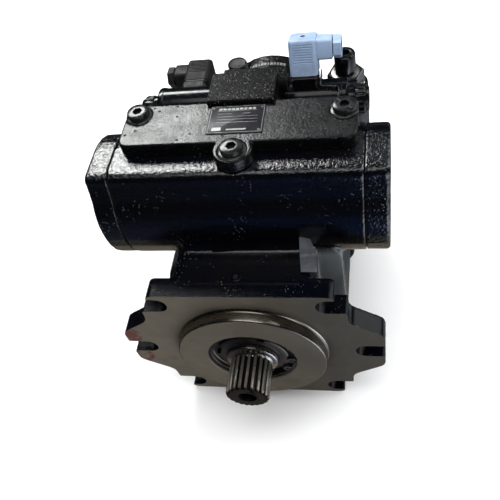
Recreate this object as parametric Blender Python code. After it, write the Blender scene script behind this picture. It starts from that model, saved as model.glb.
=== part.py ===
"""Axial piston pump with a six-slot mounting flange, stroking cylinder, electric control and boost pump.

Lengths below are millimetres in the pump's own frame: X across the shaft, Y along the shaft from the
mounting face towards the rear, Z up. The root empty carries that frame into the scene.
"""

import math

import bmesh
import bpy
from mathutils import Matrix

MM = 0.001
GAP = 0.3  # left between pieces that touch

# Mounting flange and pilot
FLANGE_THICK = 22.0
FLANGE_HALF = 90.0
FLANGE_TOP = 97.0
EAR_REACH = 133.5
EAR_TIP_R = 12.0
EAR_ROOT_R = 14.0
SLOT_HALF = 10.4
SLOT_CORNER = 80.8  # four slots stand on a square of twice this side
SLOT_EAR = 114.3  # two slots on the horizontal line
PILOT_R = 76.2
PILOT_HEIGHT = 12.7
PILOT_BORE_R = 45.6

# Shaft
SHAFT_TIP = -54.5
SHAFT_R = 20.0
DRIVE_SPLINE_R = 21.8
DRIVE_TEETH = 21
BLOCK_TEETH = 10
BLOCK_SPLINE_R = 22.0

# Housing
NECK_HALF = 68.0
BODY_HALF = 93.0
BODY_REAR = 200.0
FRONT_WALL = 23.0
NECK_PLUG = (-2.5, 21.0)
FRONT_CAVITY_R = 69.0
MAIN_CAVITY_R = 79.0

# Stroking cylinder, lying across the housing
TRUNK_Y = 117.0
TRUNK_Z = 119.0
TRUNK_R = 60.0
TRUNK_REAR_Y = 112.0
TRUNK_REAR_R = 55.0
TRUNK_TOP = 179.0
TRUNK_HALF = 115.7
COVER_END = 138.0
STROKE_BORE_R = 36.0

# Rotating group
TILT_Y = 75.0  # the swash plate tilts about a vertical line through the ball centres
PISTONS = 9
PISTON_CIRCLE = 46.0
PISTON_R = 11.0
BALL_R = 8.6
SOCKET_R = 9.4
BLOCK_FRONT = 97.0
BLOCK_REAR = 185.0
BLOCK_R = 66.0
BORE_R = 12.9
RUNNING_FACE = TILT_Y - 15.0
ROCKER_R = 48.6

# Control on top
PLATE_TOP = 192.0
CONTROL_REAR = 155.0
VALVE_TOP = 197.0
SPOOL_Y = 205.0
SPOOL_Z = 145.0
COIL_R = 22.0
COIL_END = 97.0
CAP_END = 117.5
CONNECTOR_LEAN = math.radians(18.0)
PLATE_SCREWS = {"left": (-94.0, 141.0), "right": (98.0, 137.0), "front": (3.0, 90.0)}

# Rear
PORT_FRONT = 200.3
PORT_REAR = 290.0
BOOST_REAR = 350.0
BOOST_TEETH = 9
BOOST_OFFSET = 3.0
TURRET_X = 92.0
TURRET_Y = 254.0
TOWER = (-25.0, 268.0)

# Whole-pump frame: the scene origin is the bottom centre of the pump's box
CENTRE_Y = (BOOST_REAR + SHAFT_TIP) / 2
BOTTOM = -97.0

PAINT = (0.012, 0.013, 0.016)
STEEL = (0.55, 0.55, 0.56)
BRONZE = (0.48, 0.30, 0.12)
BLACK = (0.02, 0.02, 0.022)
PLUG_BLUE = (0.17, 0.24, 0.32)
RUBBER = (0.03, 0.03, 0.03)

AXES = {
    "X": Matrix(((0, 0, 1), (1, 0, 0), (0, 1, 0))),
    "Y": Matrix(((1, 0, 0), (0, 0, 1), (0, 1, 0))),
    "Z": Matrix(((1, 0, 0), (0, 1, 0), (0, 0, 1))),
}


def clear_scene():
    for item in list(bpy.data.objects):
        bpy.data.objects.remove(item)


def material(name, colour, roughness, metallic):
    made = bpy.data.materials.new(name)
    made.use_nodes = True
    shader = made.node_tree.nodes["Principled BSDF"]
    shader.inputs["Base Color"].default_value = (*colour, 1.0)
    shader.inputs["Roughness"].default_value = roughness
    shader.inputs["Metallic"].default_value = metallic
    return made


def solid(name, points, faces, origin=(0.0, 0.0, 0.0)):
    """A closed mesh from points in millimetres, with its origin at the given pump-frame point."""
    mesh = bpy.data.meshes.new(name)
    moved = [tuple((p[k] - origin[k]) * MM for k in range(3)) for p in points]
    mesh.from_pydata(moved, [], faces)
    work = bmesh.new()
    work.from_mesh(mesh)
    bmesh.ops.remove_doubles(work, verts=work.verts, dist=1e-7)
    bmesh.ops.recalc_face_normals(work, faces=work.faces)
    work.to_mesh(mesh)
    work.free()
    made = bpy.data.objects.new(name, mesh)
    bpy.context.scene.collection.objects.link(made)
    made.location = tuple(value * MM for value in origin)
    return made


def to_axis(axis, u, v, w):
    """A point from its two cross-axis coordinates and its distance along the axis."""
    return tuple(AXES[axis] @ Matrix.Translation((u, v, w)).to_translation())


def prism(name, outline, axis, low, high, origin=(0.0, 0.0, 0.0)):
    """An outline pushed along an axis. Outlines are (x, z) for Y, (y, z) for X and (x, y) for Z."""
    count = len(outline)
    points = [to_axis(axis, u, v, w) for w in (low, high) for u, v in outline]
    faces = [tuple(range(count)), tuple(range(2 * count - 1, count - 1, -1))]
    for i in range(count):
        j = (i + 1) % count
        faces.append((i, j, count + j, count + i))
    return solid(name, points, faces, origin)


def stack(name, layers, axis, origin=(0.0, 0.0, 0.0)):
    """A solid through outlines of equal count, one after another along an axis, as for chamfered edges."""
    count = len(layers[0][0])
    points = [to_axis(axis, u, v, w) for outline, w in layers for u, v in outline]
    last = (len(layers) - 1) * count
    faces = [tuple(range(count)), tuple(range(last + count - 1, last - 1, -1))]
    for k in range(len(layers) - 1):
        for i in range(count):
            j = (i + 1) % count
            low, high = k * count, (k + 1) * count
            faces.append((low + i, low + j, high + j, high + i))
    return solid(name, points, faces, origin)


def turned(name, profile, axis, centre=(0.0, 0.0), steps=32, origin=(0.0, 0.0, 0.0)):
    """A round body from (radius, distance along the axis) points. Off the axis, the profile closes a ring."""
    points = []
    rings = []
    for radius, w in profile:
        if radius < 1e-6:
            rings.append([len(points)])
            points.append(to_axis(axis, centre[0], centre[1], w))
            continue
        rings.append(list(range(len(points), len(points) + steps)))
        for i in range(steps):
            angle = 2 * math.pi * i / steps
            u = centre[0] + radius * math.cos(angle)
            v = centre[1] + radius * math.sin(angle)
            points.append(to_axis(axis, u, v, w))
    pairs = list(zip(rings, rings[1:]))
    if profile[0][0] > 1e-6 and profile[-1][0] > 1e-6:
        pairs.append((rings[-1], rings[0]))
    faces = []
    for first, second in pairs:
        for i in range(steps):
            j = (i + 1) % steps
            if len(first) == 1 and len(second) > 1:
                faces.append((first[0], second[i], second[j]))
            elif len(second) == 1 and len(first) > 1:
                faces.append((first[i], first[j], second[0]))
            elif len(first) > 1:
                faces.append((first[i], first[j], second[j], second[i]))
    return solid(name, points, faces, origin)


def bar(name, radius, axis, low, high, centre=(0.0, 0.0), steps=32, origin=(0.0, 0.0, 0.0)):
    """A plain round bar."""
    return turned(name, [(0, low), (radius, low), (radius, high), (0, high)], axis, centre, steps, origin)


def arc(centre, radius, start, end, steps):
    """Points of an arc, angles in degrees."""
    found = []
    for i in range(steps + 1):
        angle = math.radians(start + (end - start) * i / steps)
        found.append((centre[0] + radius * math.cos(angle), centre[1] + radius * math.sin(angle)))
    return found


def rounded(left, right, low, high, radius, steps=5):
    """A rectangle with rounded corners."""
    outline = arc((right - radius, high - radius), radius, 90, 0, steps)
    outline += arc((right - radius, low + radius), radius, 0, -90, steps)
    outline += arc((left + radius, low + radius), radius, -90, -180, steps)
    outline += arc((left + radius, high - radius), radius, 180, 90, steps)
    return outline


def mirrored(half):
    """A right-hand outline, closed with its mirror image across the vertical line."""
    other = [(-x, z) for x, z in reversed(half) if x > 1e-6]
    return half + other


def helper(item):
    item.hide_render = True
    item.display_type = "WIRE"
    return item


def combine(item, other, operation):
    step = item.modifiers.new(f"{operation.lower()}_{len(item.modifiers)}", "BOOLEAN")
    step.operation = operation
    step.solver = "EXACT"
    step.object = helper(other)


def add(item, *others):
    for other in others:
        combine(item, other, "UNION")


def cut(item, *others):
    for other in others:
        combine(item, other, "DIFFERENCE")


def finish(item, colour, roughness=0.5, metallic=0.0, smooth=35.0):
    item.data.materials.append(material(item.name, colour, roughness, metallic))
    if smooth:
        item.data.shade_smooth()
        item.data.set_sharp_from_angle(angle=math.radians(smooth))
    return item


def spline_outline(outer, inner, teeth):
    """A shaft spline's cross-section: each tooth narrows towards its tip."""
    outline = []
    pitch = 2 * math.pi / teeth
    for i in range(teeth):
        for part, radius in ((-0.30, inner), (-0.17, outer), (0.17, outer), (0.30, inner)):
            angle = (i + part) * pitch
            outline.append((radius * math.cos(angle), radius * math.sin(angle)))
    return outline


def hexagon(across, centre=(0.0, 0.0), turn=0.0):
    reach = across / math.sqrt(3)
    corners = []
    for i in range(6):
        angle = math.radians(60 * i + turn)
        corners.append((centre[0] + reach * math.cos(angle), centre[1] + reach * math.sin(angle)))
    return corners


def trunk_outline(inset=0.0):
    """Stroking cylinder in (y, z): flat on top, rounder behind and below."""
    rear = TRUNK_REAR_R - inset
    corner = 14.0 - inset
    outline = arc((TRUNK_Y - 29.5, TRUNK_TOP - 14.0), corner, 158, 90, 4)
    outline += arc((TRUNK_REAR_Y, TRUNK_TOP - TRUNK_REAR_R), rear, 90, 0, 8)
    outline += arc((TRUNK_REAR_Y, 111.0), rear, 0, -180, 14)
    outline += arc((TRUNK_Y, TRUNK_Z), TRUNK_R - inset, 180, 147, 4)
    return outline


def flange_outline():
    """Square plate with an ear on each side: the edge steps out below each slot and sweeps into the ear."""
    corner = arc((FLANGE_HALF - 8, FLANGE_TOP - 8), 8, 90, 0, 4)
    lip = [(FLANGE_HALF + 9.2, 74.0)]
    root = arc((FLANGE_HALF + 9.5 + EAR_ROOT_R, 60.0), EAR_ROOT_R, 180, 235, 5)
    tip = arc((EAR_REACH - EAR_TIP_R, 22.7), EAR_TIP_R, 55, 0, 4)
    upper = [(0.0, FLANGE_TOP)] + corner + lip + root + tip
    lower = [(x, -z) for x, z in reversed(upper)]
    return mirrored(upper + lower)


def body_outline():
    """Main body in (x, z): barrel-shaped, with a squarer upper corner on the right."""
    reach = BODY_HALF - 66.0
    outline = arc((BODY_HALF - 12, BODY_HALF - 12), 12, 90, 0, 3)
    outline += arc((reach, -reach), 66, 0, -90, 8)
    outline += arc((-reach, -reach), 66, -90, -180, 8)
    outline += arc((-reach, reach), 66, 180, 90, 8)
    return outline


def u_slot(name, x, z):
    """An open-ended bolt slot: round inside, running out past the flange's side."""
    side = 1 if x > 0 else -1
    outline = [(x + side * 40, z + SLOT_HALF), (x + side * 40, z - SLOT_HALF)]
    outline += [(x - side * px, z + pz) for px, pz in arc((0, 0), SLOT_HALF, -90, 90, 8)]
    return prism(name, outline, "Y", -1.0, FLANGE_THICK + 1.0)


def make_housing():
    housing = prism("housing", flange_outline(), "Y", 0.0, FLANGE_THICK)
    rise = [(0, 5.0), (0, -PILOT_HEIGHT), (PILOT_R - 1, -PILOT_HEIGHT), (PILOT_R, 1 - PILOT_HEIGHT)]
    pilot = turned("pilot_add", rise + [(PILOT_R, 5.0)], "Y", steps=56)
    neck = prism("neck_add", rounded(-NECK_HALF, NECK_HALF, -92, 98, 10), "Y", 15.0, 70.0)
    body = prism("body_add", body_outline(), "Y", 57.0, BODY_REAR - 8)
    rear = prism("rear_add", rounded(-95, 95, BOTTOM, 95, 24), "Y", BODY_REAR - 20, BODY_REAR)
    trunk = prism("trunk_add", trunk_outline(), "X", -TRUNK_HALF, TRUNK_HALF)
    plate_pad = prism("plate_pad_add", rounded(-107, 110, 97, CONTROL_REAR, 9), "Z", 140.0, TRUNK_TOP)
    block_pad = prism("block_pad_add", rounded(-29, 34, 140, 178.3, 1, 1), "Z", 60.0, TRUNK_TOP)
    foot_outline = [(30, 80), (40, 94)] + arc((42.6, 109.0), 14, -90, 0, 6)
    foot_outline += [(56.6, 124), (60.5, 135), (75, 135), (75, 80)]
    foot = prism("foot_add", foot_outline, "X", -60.0, 55.5)
    drain_boss = bar("drain_boss_add", 24.0, "X", 60.0, BODY_HALF + 4, (150.0, 20.0), 28)
    add(housing, pilot, neck, body, rear, trunk, foot, drain_boss, plate_pad, block_pad)

    corners = [(sx * SLOT_CORNER, sz * SLOT_CORNER) for sx in (1, -1) for sz in (1, -1)]
    ears = [(SLOT_EAR, 0.0), (-SLOT_EAR, 0.0)]
    slots = [u_slot(f"slot_cut_{i}", x, z) for i, (x, z) in enumerate(corners + ears)]
    groove_r = PILOT_BORE_R + 2.2
    hollow = [(0, -20), (PILOT_BORE_R, -20), (PILOT_BORE_R, -11.3), (groove_r, -11.3), (groove_r, -9.3)]
    hollow += [(PILOT_BORE_R, -9.3), (PILOT_BORE_R, 20.5), (36, 20.5), (36, FRONT_WALL)]
    hollow += [(FRONT_CAVITY_R, FRONT_WALL), (FRONT_CAVITY_R, 62), (MAIN_CAVITY_R, 70)]
    hollow += [(MAIN_CAVITY_R, BODY_REAR + 5), (0, BODY_REAR + 5)]
    inside = turned("inside_cut", hollow, "Y", steps=40)
    stroke_bore = bar("stroke_bore_cut", STROKE_BORE_R, "X", -130, 130, (TRUNK_Y, TRUNK_Z), 32)
    arm_window = prism("arm_window_cut", rounded(-26, 26, 90, 130, 6), "Z", 60, 100)
    arm_room = prism("arm_room_cut", rounded(-20, 20, 42, 96, 4, 2), "Z", 50, 81)
    neck_hole = bar("neck_hole_cut", 3.9, "Z", 88, 110, NECK_PLUG, 16)
    drain = bar("drain_cut", 14.0, "X", 60.0, 110.0, (150.0, 20.0), 24)
    cut(housing, inside, stroke_bore, arm_window, arm_room, neck_hole, drain, *slots)
    for x, z in corners:
        cut(housing, bar(f"wrench_room_cut_{int(x)}_{int(z)}", 18.0, "Y", FLANGE_THICK, 47.0, (x, z), 20))
    for side in (1, -1):
        seat = prism(f"seat_add_{side}", rounded(-44, 44, 21.6, 43, 2, 1), "Z",
                     *sorted((side * 43.0, side * 57.0)))
        hollow = bar(f"seat_cut_{side}", ROCKER_R + 3.5, "Z",
                     *sorted((side * 42.5, side * 60.0)), (0.0, TILT_Y), 48)
        cut(seat, hollow)
        add(housing, seat)
    for tag, spot in PLATE_SCREWS.items():
        cut(housing, bar(f"tapped_cut_{tag}", 5.6, "Z", 160.0, 185.0, spot, 8))
    return finish(housing, PAINT, 0.35)


def make_covers():
    for name, side in (("cylinder_cover_left", -1), ("cylinder_cover_right", 1)):
        near, far = side * (TRUNK_HALF + GAP), side * COVER_END
        wall, rim = trunk_outline(0.4), trunk_outline(2.4)
        layers = [(wall, near), (wall, far - side * 2.5), (rim, far)]
        cover = stack(name, layers, "X", (side * 127.0, TRUNK_Y, TRUNK_Z))
        for i, turn in enumerate((45, 90, 135, 225, 270, 315)):
            angle = math.radians(turn)
            spot = (TRUNK_REAR_Y + 46.0 * math.cos(angle), TRUNK_Z + 46.0 * math.sin(angle))
            cut(cover, bar(f"{name}_bore_{i}", 7.0, "X", *sorted((side * 127.0, side * 141.0)), spot, 8))
        finish(cover, PAINT, 0.45)


def make_stroking_piston():
    profile = [(0, -86.0), (26, -86.0), (26, -62), (STROKE_BORE_R - 1.6, -62), (STROKE_BORE_R - 0.7, -60)]
    profile += [(STROKE_BORE_R - 0.7, 60), (STROKE_BORE_R - 1.6, 62), (26, 62), (26, 86), (0, 86)]
    piston = turned("stroking_piston", profile, "X", (TRUNK_Y, TRUNK_Z), 32, (0, TRUNK_Y, TRUNK_Z))
    slot = prism("stroking_slot_cut", rounded(-7.7, 7.7, TRUNK_Y - 30, TRUNK_Y + 30, 1, 1), "Z", 70, 112)
    cut(piston, slot)
    finish(piston, STEEL, 0.3, 1.0)


def make_seal_group():
    carrier = turned(
        "seal_carrier",
        [(27.6, -9.0), (43.6, -9.0), (44.9, -7.7), (44.9, 0.6), (33.0, 0.6), (33.0, -1.2), (27.6, -1.2)],
        "Y", steps=32,
    )
    finish(carrier, STEEL, 0.4, 0.9)
    lip_r = SHAFT_R + 1.3
    seal = turned("shaft_seal", [(lip_r, -9.0), (27.2, -9.0), (27.2, -2.0), (lip_r, -2.0)], "Y", steps=32)
    finish(seal, RUBBER, 0.6)
    ring = arc((0, 0), 47.0, -78, 258, 28) + arc((0, 0), 43.2, 258, -78, 28)
    clip = prism("retaining_ring", ring, "Y", -11.0, -9.6)
    finish(clip, BLACK, 0.3, 0.8)


def make_shaft():
    profile = [(0, SHAFT_TIP + 8), (5.5, SHAFT_TIP + 8), (7.5, SHAFT_TIP), (DRIVE_SPLINE_R - 3.4, SHAFT_TIP)]
    profile += [(DRIVE_SPLINE_R - 2.4, SHAFT_TIP + 1), (DRIVE_SPLINE_R - 2.4, -11.5), (SHAFT_R + 0.8, -11.5)]
    profile += [(SHAFT_R + 0.8, 1.0), (24.9, 1.0), (24.9, 2.0), (22.2, 2.0), (22.2, 24.0), (SHAFT_R, 26.0)]
    profile += [(SHAFT_R, 196.0), (15.0, 198.0), (15.0, 318.0), (0, 318.0)]
    shaft = turned("drive_shaft", profile, "Y", steps=28)
    drive = prism("drive_spline_add", spline_outline(DRIVE_SPLINE_R, DRIVE_SPLINE_R - 2.9, DRIVE_TEETH),
                  "Y", SHAFT_TIP + 2.2, -15.0)
    teeth = spline_outline(BLOCK_SPLINE_R, SHAFT_R - 0.6, BLOCK_TEETH)
    block = prism("block_spline_add", teeth, "Y", 110.0, 165.0)
    add(shaft, drive, block)
    finish(shaft, STEEL, 0.25, 1.0)


def make_bearings():
    cup = turned(
        "front_bearing_cup", [(40.2, 1.2), (45.1, 1.2), (45.1, 20.2), (36.4, 20.2)], "Y", steps=40
    )
    finish(cup, STEEL, 0.3, 1.0)
    cone = turned(
        "front_bearing_cone",
        [(22.6, 2.6), (38.6, 2.6), (35.2, 19.4), (26.5, 19.4), (26.5, 22.6), (22.6, 22.6)],
        "Y", steps=32,
    )
    finish(cone, STEEL, 0.3, 1.0)
    for name, side in (("cradle_bearing_upper", 1), ("cradle_bearing_lower", -1)):
        outline = arc((0, TILT_Y), ROCKER_R + 3.0, -132, -48, 10)
        outline += arc((0, TILT_Y), ROCKER_R + 0.7, -48, -132, 10)
        shell = prism(name, outline, "Z", *sorted((side * 44.5, side * 53.5)), (0, TILT_Y, 0))
        finish(shell, BRONZE, 0.35, 0.9)


def make_swash_plate():
    """Tilting cradle: disc, two rocker rails, and the arm that reaches up into the stroking piston."""
    plate = turned(
        "swash_plate",
        [(36.0, 46.0), (52.0, 46.0), (61.5, 56.0), (61.5, RUNNING_FACE), (28.0, RUNNING_FACE)],
        "Y", steps=40, origin=(0, TILT_Y, 0),
    )
    for side in (1, -1):
        rail = prism(
            f"rail_add_{side}", arc((0, TILT_Y), ROCKER_R, -131, -49, 10) + [(31.9, 52.0), (-31.9, 52.0)],
            "Z", *sorted((side * 44.0, side * 54.0)),
        )
        add(plate, rail)
    web_outline = [(45.0, 52.0), (RUNNING_FACE - 3, 52.0), (RUNNING_FACE - 3, 63.0), (66.0, 69.5),
                   (112.0, 69.5), (123.0, 73.0), (123.0, 77.5), (60.0, 77.5), (45.0, 61.0)]
    web = prism("arm_add", web_outline, "X", -7.0, 7.0)
    pin = bar("arm_pin_add", 7.0, "Z", 70.0, 106.0, (0.0, TRUNK_Y), 24)
    add(plate, web, pin)
    finish(plate, STEEL, 0.35, 0.9)


def make_rotating_group():
    """Cylinder block, pistons, slippers, retaining plate and the ball that presses it."""
    block = turned(
        "cylinder_block",
        [(SHAFT_R + 0.7, 87.0), (25.5, 87.0), (26.5, BLOCK_FRONT), (BLOCK_R - 2, BLOCK_FRONT),
         (BLOCK_R, BLOCK_FRONT + 2), (BLOCK_R, 168), (BLOCK_R - 5, BLOCK_REAR), (SHAFT_R + 0.7, BLOCK_REAR)],
        "Y", steps=36,
    )
    cut(block, prism("block_spline_cut", spline_outline(BLOCK_SPLINE_R + 0.4, SHAFT_R - 0.2, BLOCK_TEETH),
                     "Y", 80.0, 190.0))
    inner = SHAFT_R + 0.7
    ball = turned(
        "retaining_ball", [(inner, 62.0)] + arc((0, TILT_Y), 27.0, -28, 12, 4) + [(inner, 83.0)],
        "Y", steps=24,
    )
    finish(ball, STEEL, 0.25, 1.0)
    plate = turned(
        "retaining_plate", [(27.0, 64.7), (61.0, 64.7), (61.0, 68.7), (27.6, 68.7)],
        "Y", steps=27, origin=(0, TILT_Y, 0),
    )
    for i in range(PISTONS):
        angle = 2 * math.pi * (i + 0.5) / PISTONS
        x = PISTON_CIRCLE * math.cos(angle)
        z = PISTON_CIRCLE * math.sin(angle)
        centre = (x, TILT_Y, z)
        cut(block, bar(f"block_bore_cut_{i}", BORE_R, "Y", 90.0, 174.0, (x, z), 18))
        cut(block, bar(f"block_port_cut_{i}", 6.0, "Y", 170.0, 190.0, (x, z), 8))
        cut(plate, bar(f"plate_hole_cut_{i}", 12.5, "Y", 60.0, 75.0, (x, z), 12))
        make_slipper(i, centre)
        make_piston(i, centre)
    finish(block, BRONZE, 0.35, 0.8)
    finish(plate, STEEL, 0.3, 1.0)


def make_slipper(i, centre):
    socket = arc((0, TILT_Y), SOCKET_R, 15, -63, 3)
    profile = [(0, RUNNING_FACE + GAP), (14.0, RUNNING_FACE + GAP), (14.0, 64.3), (11.9, 64.3), (11.9, 76.8)]
    profile += [(socket[0][0] + 0.4, TILT_Y + 3.0)] + socket + [(0, TILT_Y - SOCKET_R)]
    slipper = turned(f"slipper_{i + 1}", profile, "Y", (centre[0], centre[2]), 12, centre)
    finish(slipper, BRONZE, 0.35, 0.9)


def make_piston(i, centre):
    ball = arc((0, TILT_Y), BALL_R, -60, 48, 4)
    profile = [(0, TILT_Y - BALL_R)] + ball + [(5.5, 84.5), (PISTON_R, 90.5), (PISTON_R, 155.0), (0, 155.0)]
    piston = turned(f"piston_{i + 1}", profile, "Y", (centre[0], centre[2]), 12, centre)
    finish(piston, STEEL, 0.2, 1.0)


def make_valve_plate():
    section = [(24.0, 185.5), (62.0, 185.5), (62.0, 191.2), (24.0, 191.2)]
    plate = turned("valve_plate", section, "Y", steps=32)
    for side in (1, -1):
        mid = 90 if side > 0 else 270
        kidney = arc((0, 0), 51.5, mid - 62, mid + 62, 12) + arc((0, 0), 40.5, mid + 62, mid - 62, 12)
        cut(plate, prism(f"kidney_cut_{side}", kidney, "Y", 180.0, 195.0))
    finish(plate, BRONZE, 0.3, 0.8)


def make_control_top():
    wall = rounded(-107, 110, 100, CONTROL_REAR, 10)
    rim = rounded(-105.8, 108.8, 101.2, CONTROL_REAR - 1.2, 8.8)
    low = TRUNK_TOP + GAP
    plate = stack("control_plate", [(wall, low), (wall, PLATE_TOP - 1.2), (rim, PLATE_TOP)], "Z")
    boss = [(0, low), (18.0, low), (18.0, PLATE_TOP - 1.2), (16.8, PLATE_TOP), (0, PLATE_TOP)]
    add(plate, turned("boss_add", boss, "Z", (2.5, 92.5), 28))
    for tag, spot in PLATE_SCREWS.items():
        cut(plate, bar(f"screw_hole_cut_{tag}", 6.6, "Z", 170.0, 200.0, spot, 12))
        cut(plate, bar(f"spot_face_cut_{tag}", 13.4, "Z", PLATE_TOP - 1.2, 200.0, spot, 24))
    finish(plate, PAINT, 0.35)

    for tag, (x, y) in PLATE_SCREWS.items():
        name = f"plate_screw_{tag}"
        seat = PLATE_TOP - 1.2 + GAP
        profile = [(0, 163.0), (5.0, 163.0), (5.0, seat), (10.2, seat), (10.2, seat + 4.6)]
        profile += [(9.3, seat + 5.6), (0, seat + 5.6)]
        screw = turned(name, profile, "Z", (x, y), 20, (x, y, seat))
        cut(screw, prism(f"{name}_socket", hexagon(8.6, (x, y)), "Z", seat + 0.6, seat + 9))
        finish(screw, BLACK, 0.35, 0.6)

    foil = rounded(-24.5, 27.5, 110.5, 147.5, 1.5, 2)
    label = prism("name_plate", foil, "Z", PLATE_TOP + 0.1, PLATE_TOP + 0.9)
    finish(label, BLACK, 0.4, 0.3)


def make_valve_block():
    side = [(149.0, PLATE_TOP + GAP), (149.0, VALVE_TOP - 1.5), (150.5, VALVE_TOP), (190.0, VALVE_TOP)]
    side += [(192.0, VALVE_TOP - 2), (193.0, 172.0), (229.0, 172.0), (231.0, 170.0), (231.0, 120.0)]
    side += [(178.6, 120.0), (178.6, TRUNK_TOP + GAP), (CONTROL_REAR + 0.5, TRUNK_TOP + GAP)]
    side += [(CONTROL_REAR + 0.5, PLATE_TOP + GAP)]
    block = prism("valve_block", side, "X", -29.0, 34.0)
    add(block, bar("side_boss_add", 8.5, "X", 30.0, 43.0, (186.5, 184.0), 20))
    cut(block, bar("spool_bore_cut", 6.2, "X", -40.0, 40.0, (SPOOL_Y, SPOOL_Z), 24))
    finish(block, PAINT, 0.3)

    spool = [(0, -22.5), (3.0, -22.5), (3.0, -17.0), (5.9, -17.0), (5.9, -8.0), (3.6, -8.0), (3.6, -1.0)]
    spool += [(5.9, -1.0), (5.9, 6.0), (3.6, 6.0), (3.6, 13.0), (5.9, 13.0), (5.9, 22.0), (3.0, 22.0)]
    spool += [(3.0, 27.5), (0, 27.5)]
    made = turned("control_spool", spool, "X", (SPOOL_Y, SPOOL_Z), 12, (2.5, SPOOL_Y, SPOOL_Z))
    finish(made, STEEL, 0.25, 1.0)


def leaning_box(name, x, width, pivot, low, high, front, back, turn):
    """A box that leans about the cross axis: low to high along its own height, front to back across it."""
    up = (math.sin(turn), math.cos(turn))
    away = (math.cos(turn), -math.sin(turn))
    outline = []
    for height, depth in ((low, front), (high, front), (high, back), (low, back)):
        y = pivot[0] + height * up[0] + depth * away[0]
        z = pivot[1] + height * up[1] + depth * away[1]
        outline.append((y, z))
    return prism(name, outline, "X", x - width / 2, x + width / 2)


def make_solenoid(tag, side, inner, x, turn, pivot):
    """Coil with its plug seat, end nut, override pin, connector and cable gland."""
    ends = sorted((side * inner, side * COIL_END))
    edge = [(0, ends[0]), (COIL_R - 1.5, ends[0]), (COIL_R, ends[0] + 1.5), (COIL_R, ends[1] - 1.5)]
    edge += [(COIL_R - 1.5, ends[1]), (0, ends[1])]
    coil = turned(f"solenoid_{tag}", edge, "X", (SPOOL_Y, SPOOL_Z), 32, (side * inner, SPOOL_Y, SPOOL_Z))
    add(coil, leaning_box(f"seat_lug_{tag}_add", x, 24.0, pivot, -16.0, -GAP, 2.0, 25.0, turn))
    finish(coil, BLACK, 0.4, 0.2)

    near, far = side * (COIL_END + GAP), side * CAP_END
    profile = [(3.2, near), (14.0, near), (14.0, side * 103.0), (15.0, side * 104.0), (15.0, side * 114.0),
               (12.0, far), (5.0, far), (3.2, side * (CAP_END - 1.5))]
    nut = turned(f"solenoid_nut_{tag}", profile, "X", (SPOOL_Y, SPOOL_Z), 20, (near, SPOOL_Y, SPOOL_Z))
    finish(nut, BLACK, 0.3, 0.4)
    start = side * 101.0
    tip = side * 117.0
    profile = [(0, start), (2.9, start), (2.9, tip - side), (2.2, tip), (0, tip)]
    pin = turned(f"override_pin_{tag}", profile, "X", (SPOOL_Y, SPOOL_Z), 16, (start, SPOOL_Y, SPOOL_Z))
    finish(pin, STEEL, 0.3, 1.0)

    plug = leaning_box(f"connector_{tag}", x, 27.0, pivot, 0.0, 35.0, 0.0, 27.0, turn)
    edge = plug.modifiers.new("edge", "BEVEL")
    edge.width = 2.2 * MM
    edge.segments = 2
    up = (math.sin(turn), math.cos(turn))
    away = (math.cos(turn), -math.sin(turn))
    gland = (pivot[0] + 23.5 * up[0] + 13.5 * away[0], pivot[1] + 23.5 * up[1] + 13.5 * away[1])
    add(plug, bar(f"gland_{tag}_add", 10.0, "X", *sorted((x + side * 8, x + side * 28)), gland, 24))
    cut(plug, bar(f"gland_{tag}_cut", 4.5, "X", *sorted((x + side * 4, x + side * 40)), gland, 16))
    finish(plug, PLUG_BLUE if side > 0 else BLACK, 0.45)

    start, end = x + side * 28.3, x + side * 36.5
    ring = prism(f"gland_nut_{tag}", hexagon(19.5, gland, 30), "X", *sorted((start, end)), (start, *gland))
    cut(ring, bar(f"gland_nut_{tag}_cut", 4.8, "X", *sorted((start - side, end + side)), gland, 16))
    finish(ring, PLUG_BLUE if side > 0 else BLACK, 0.45)


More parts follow.
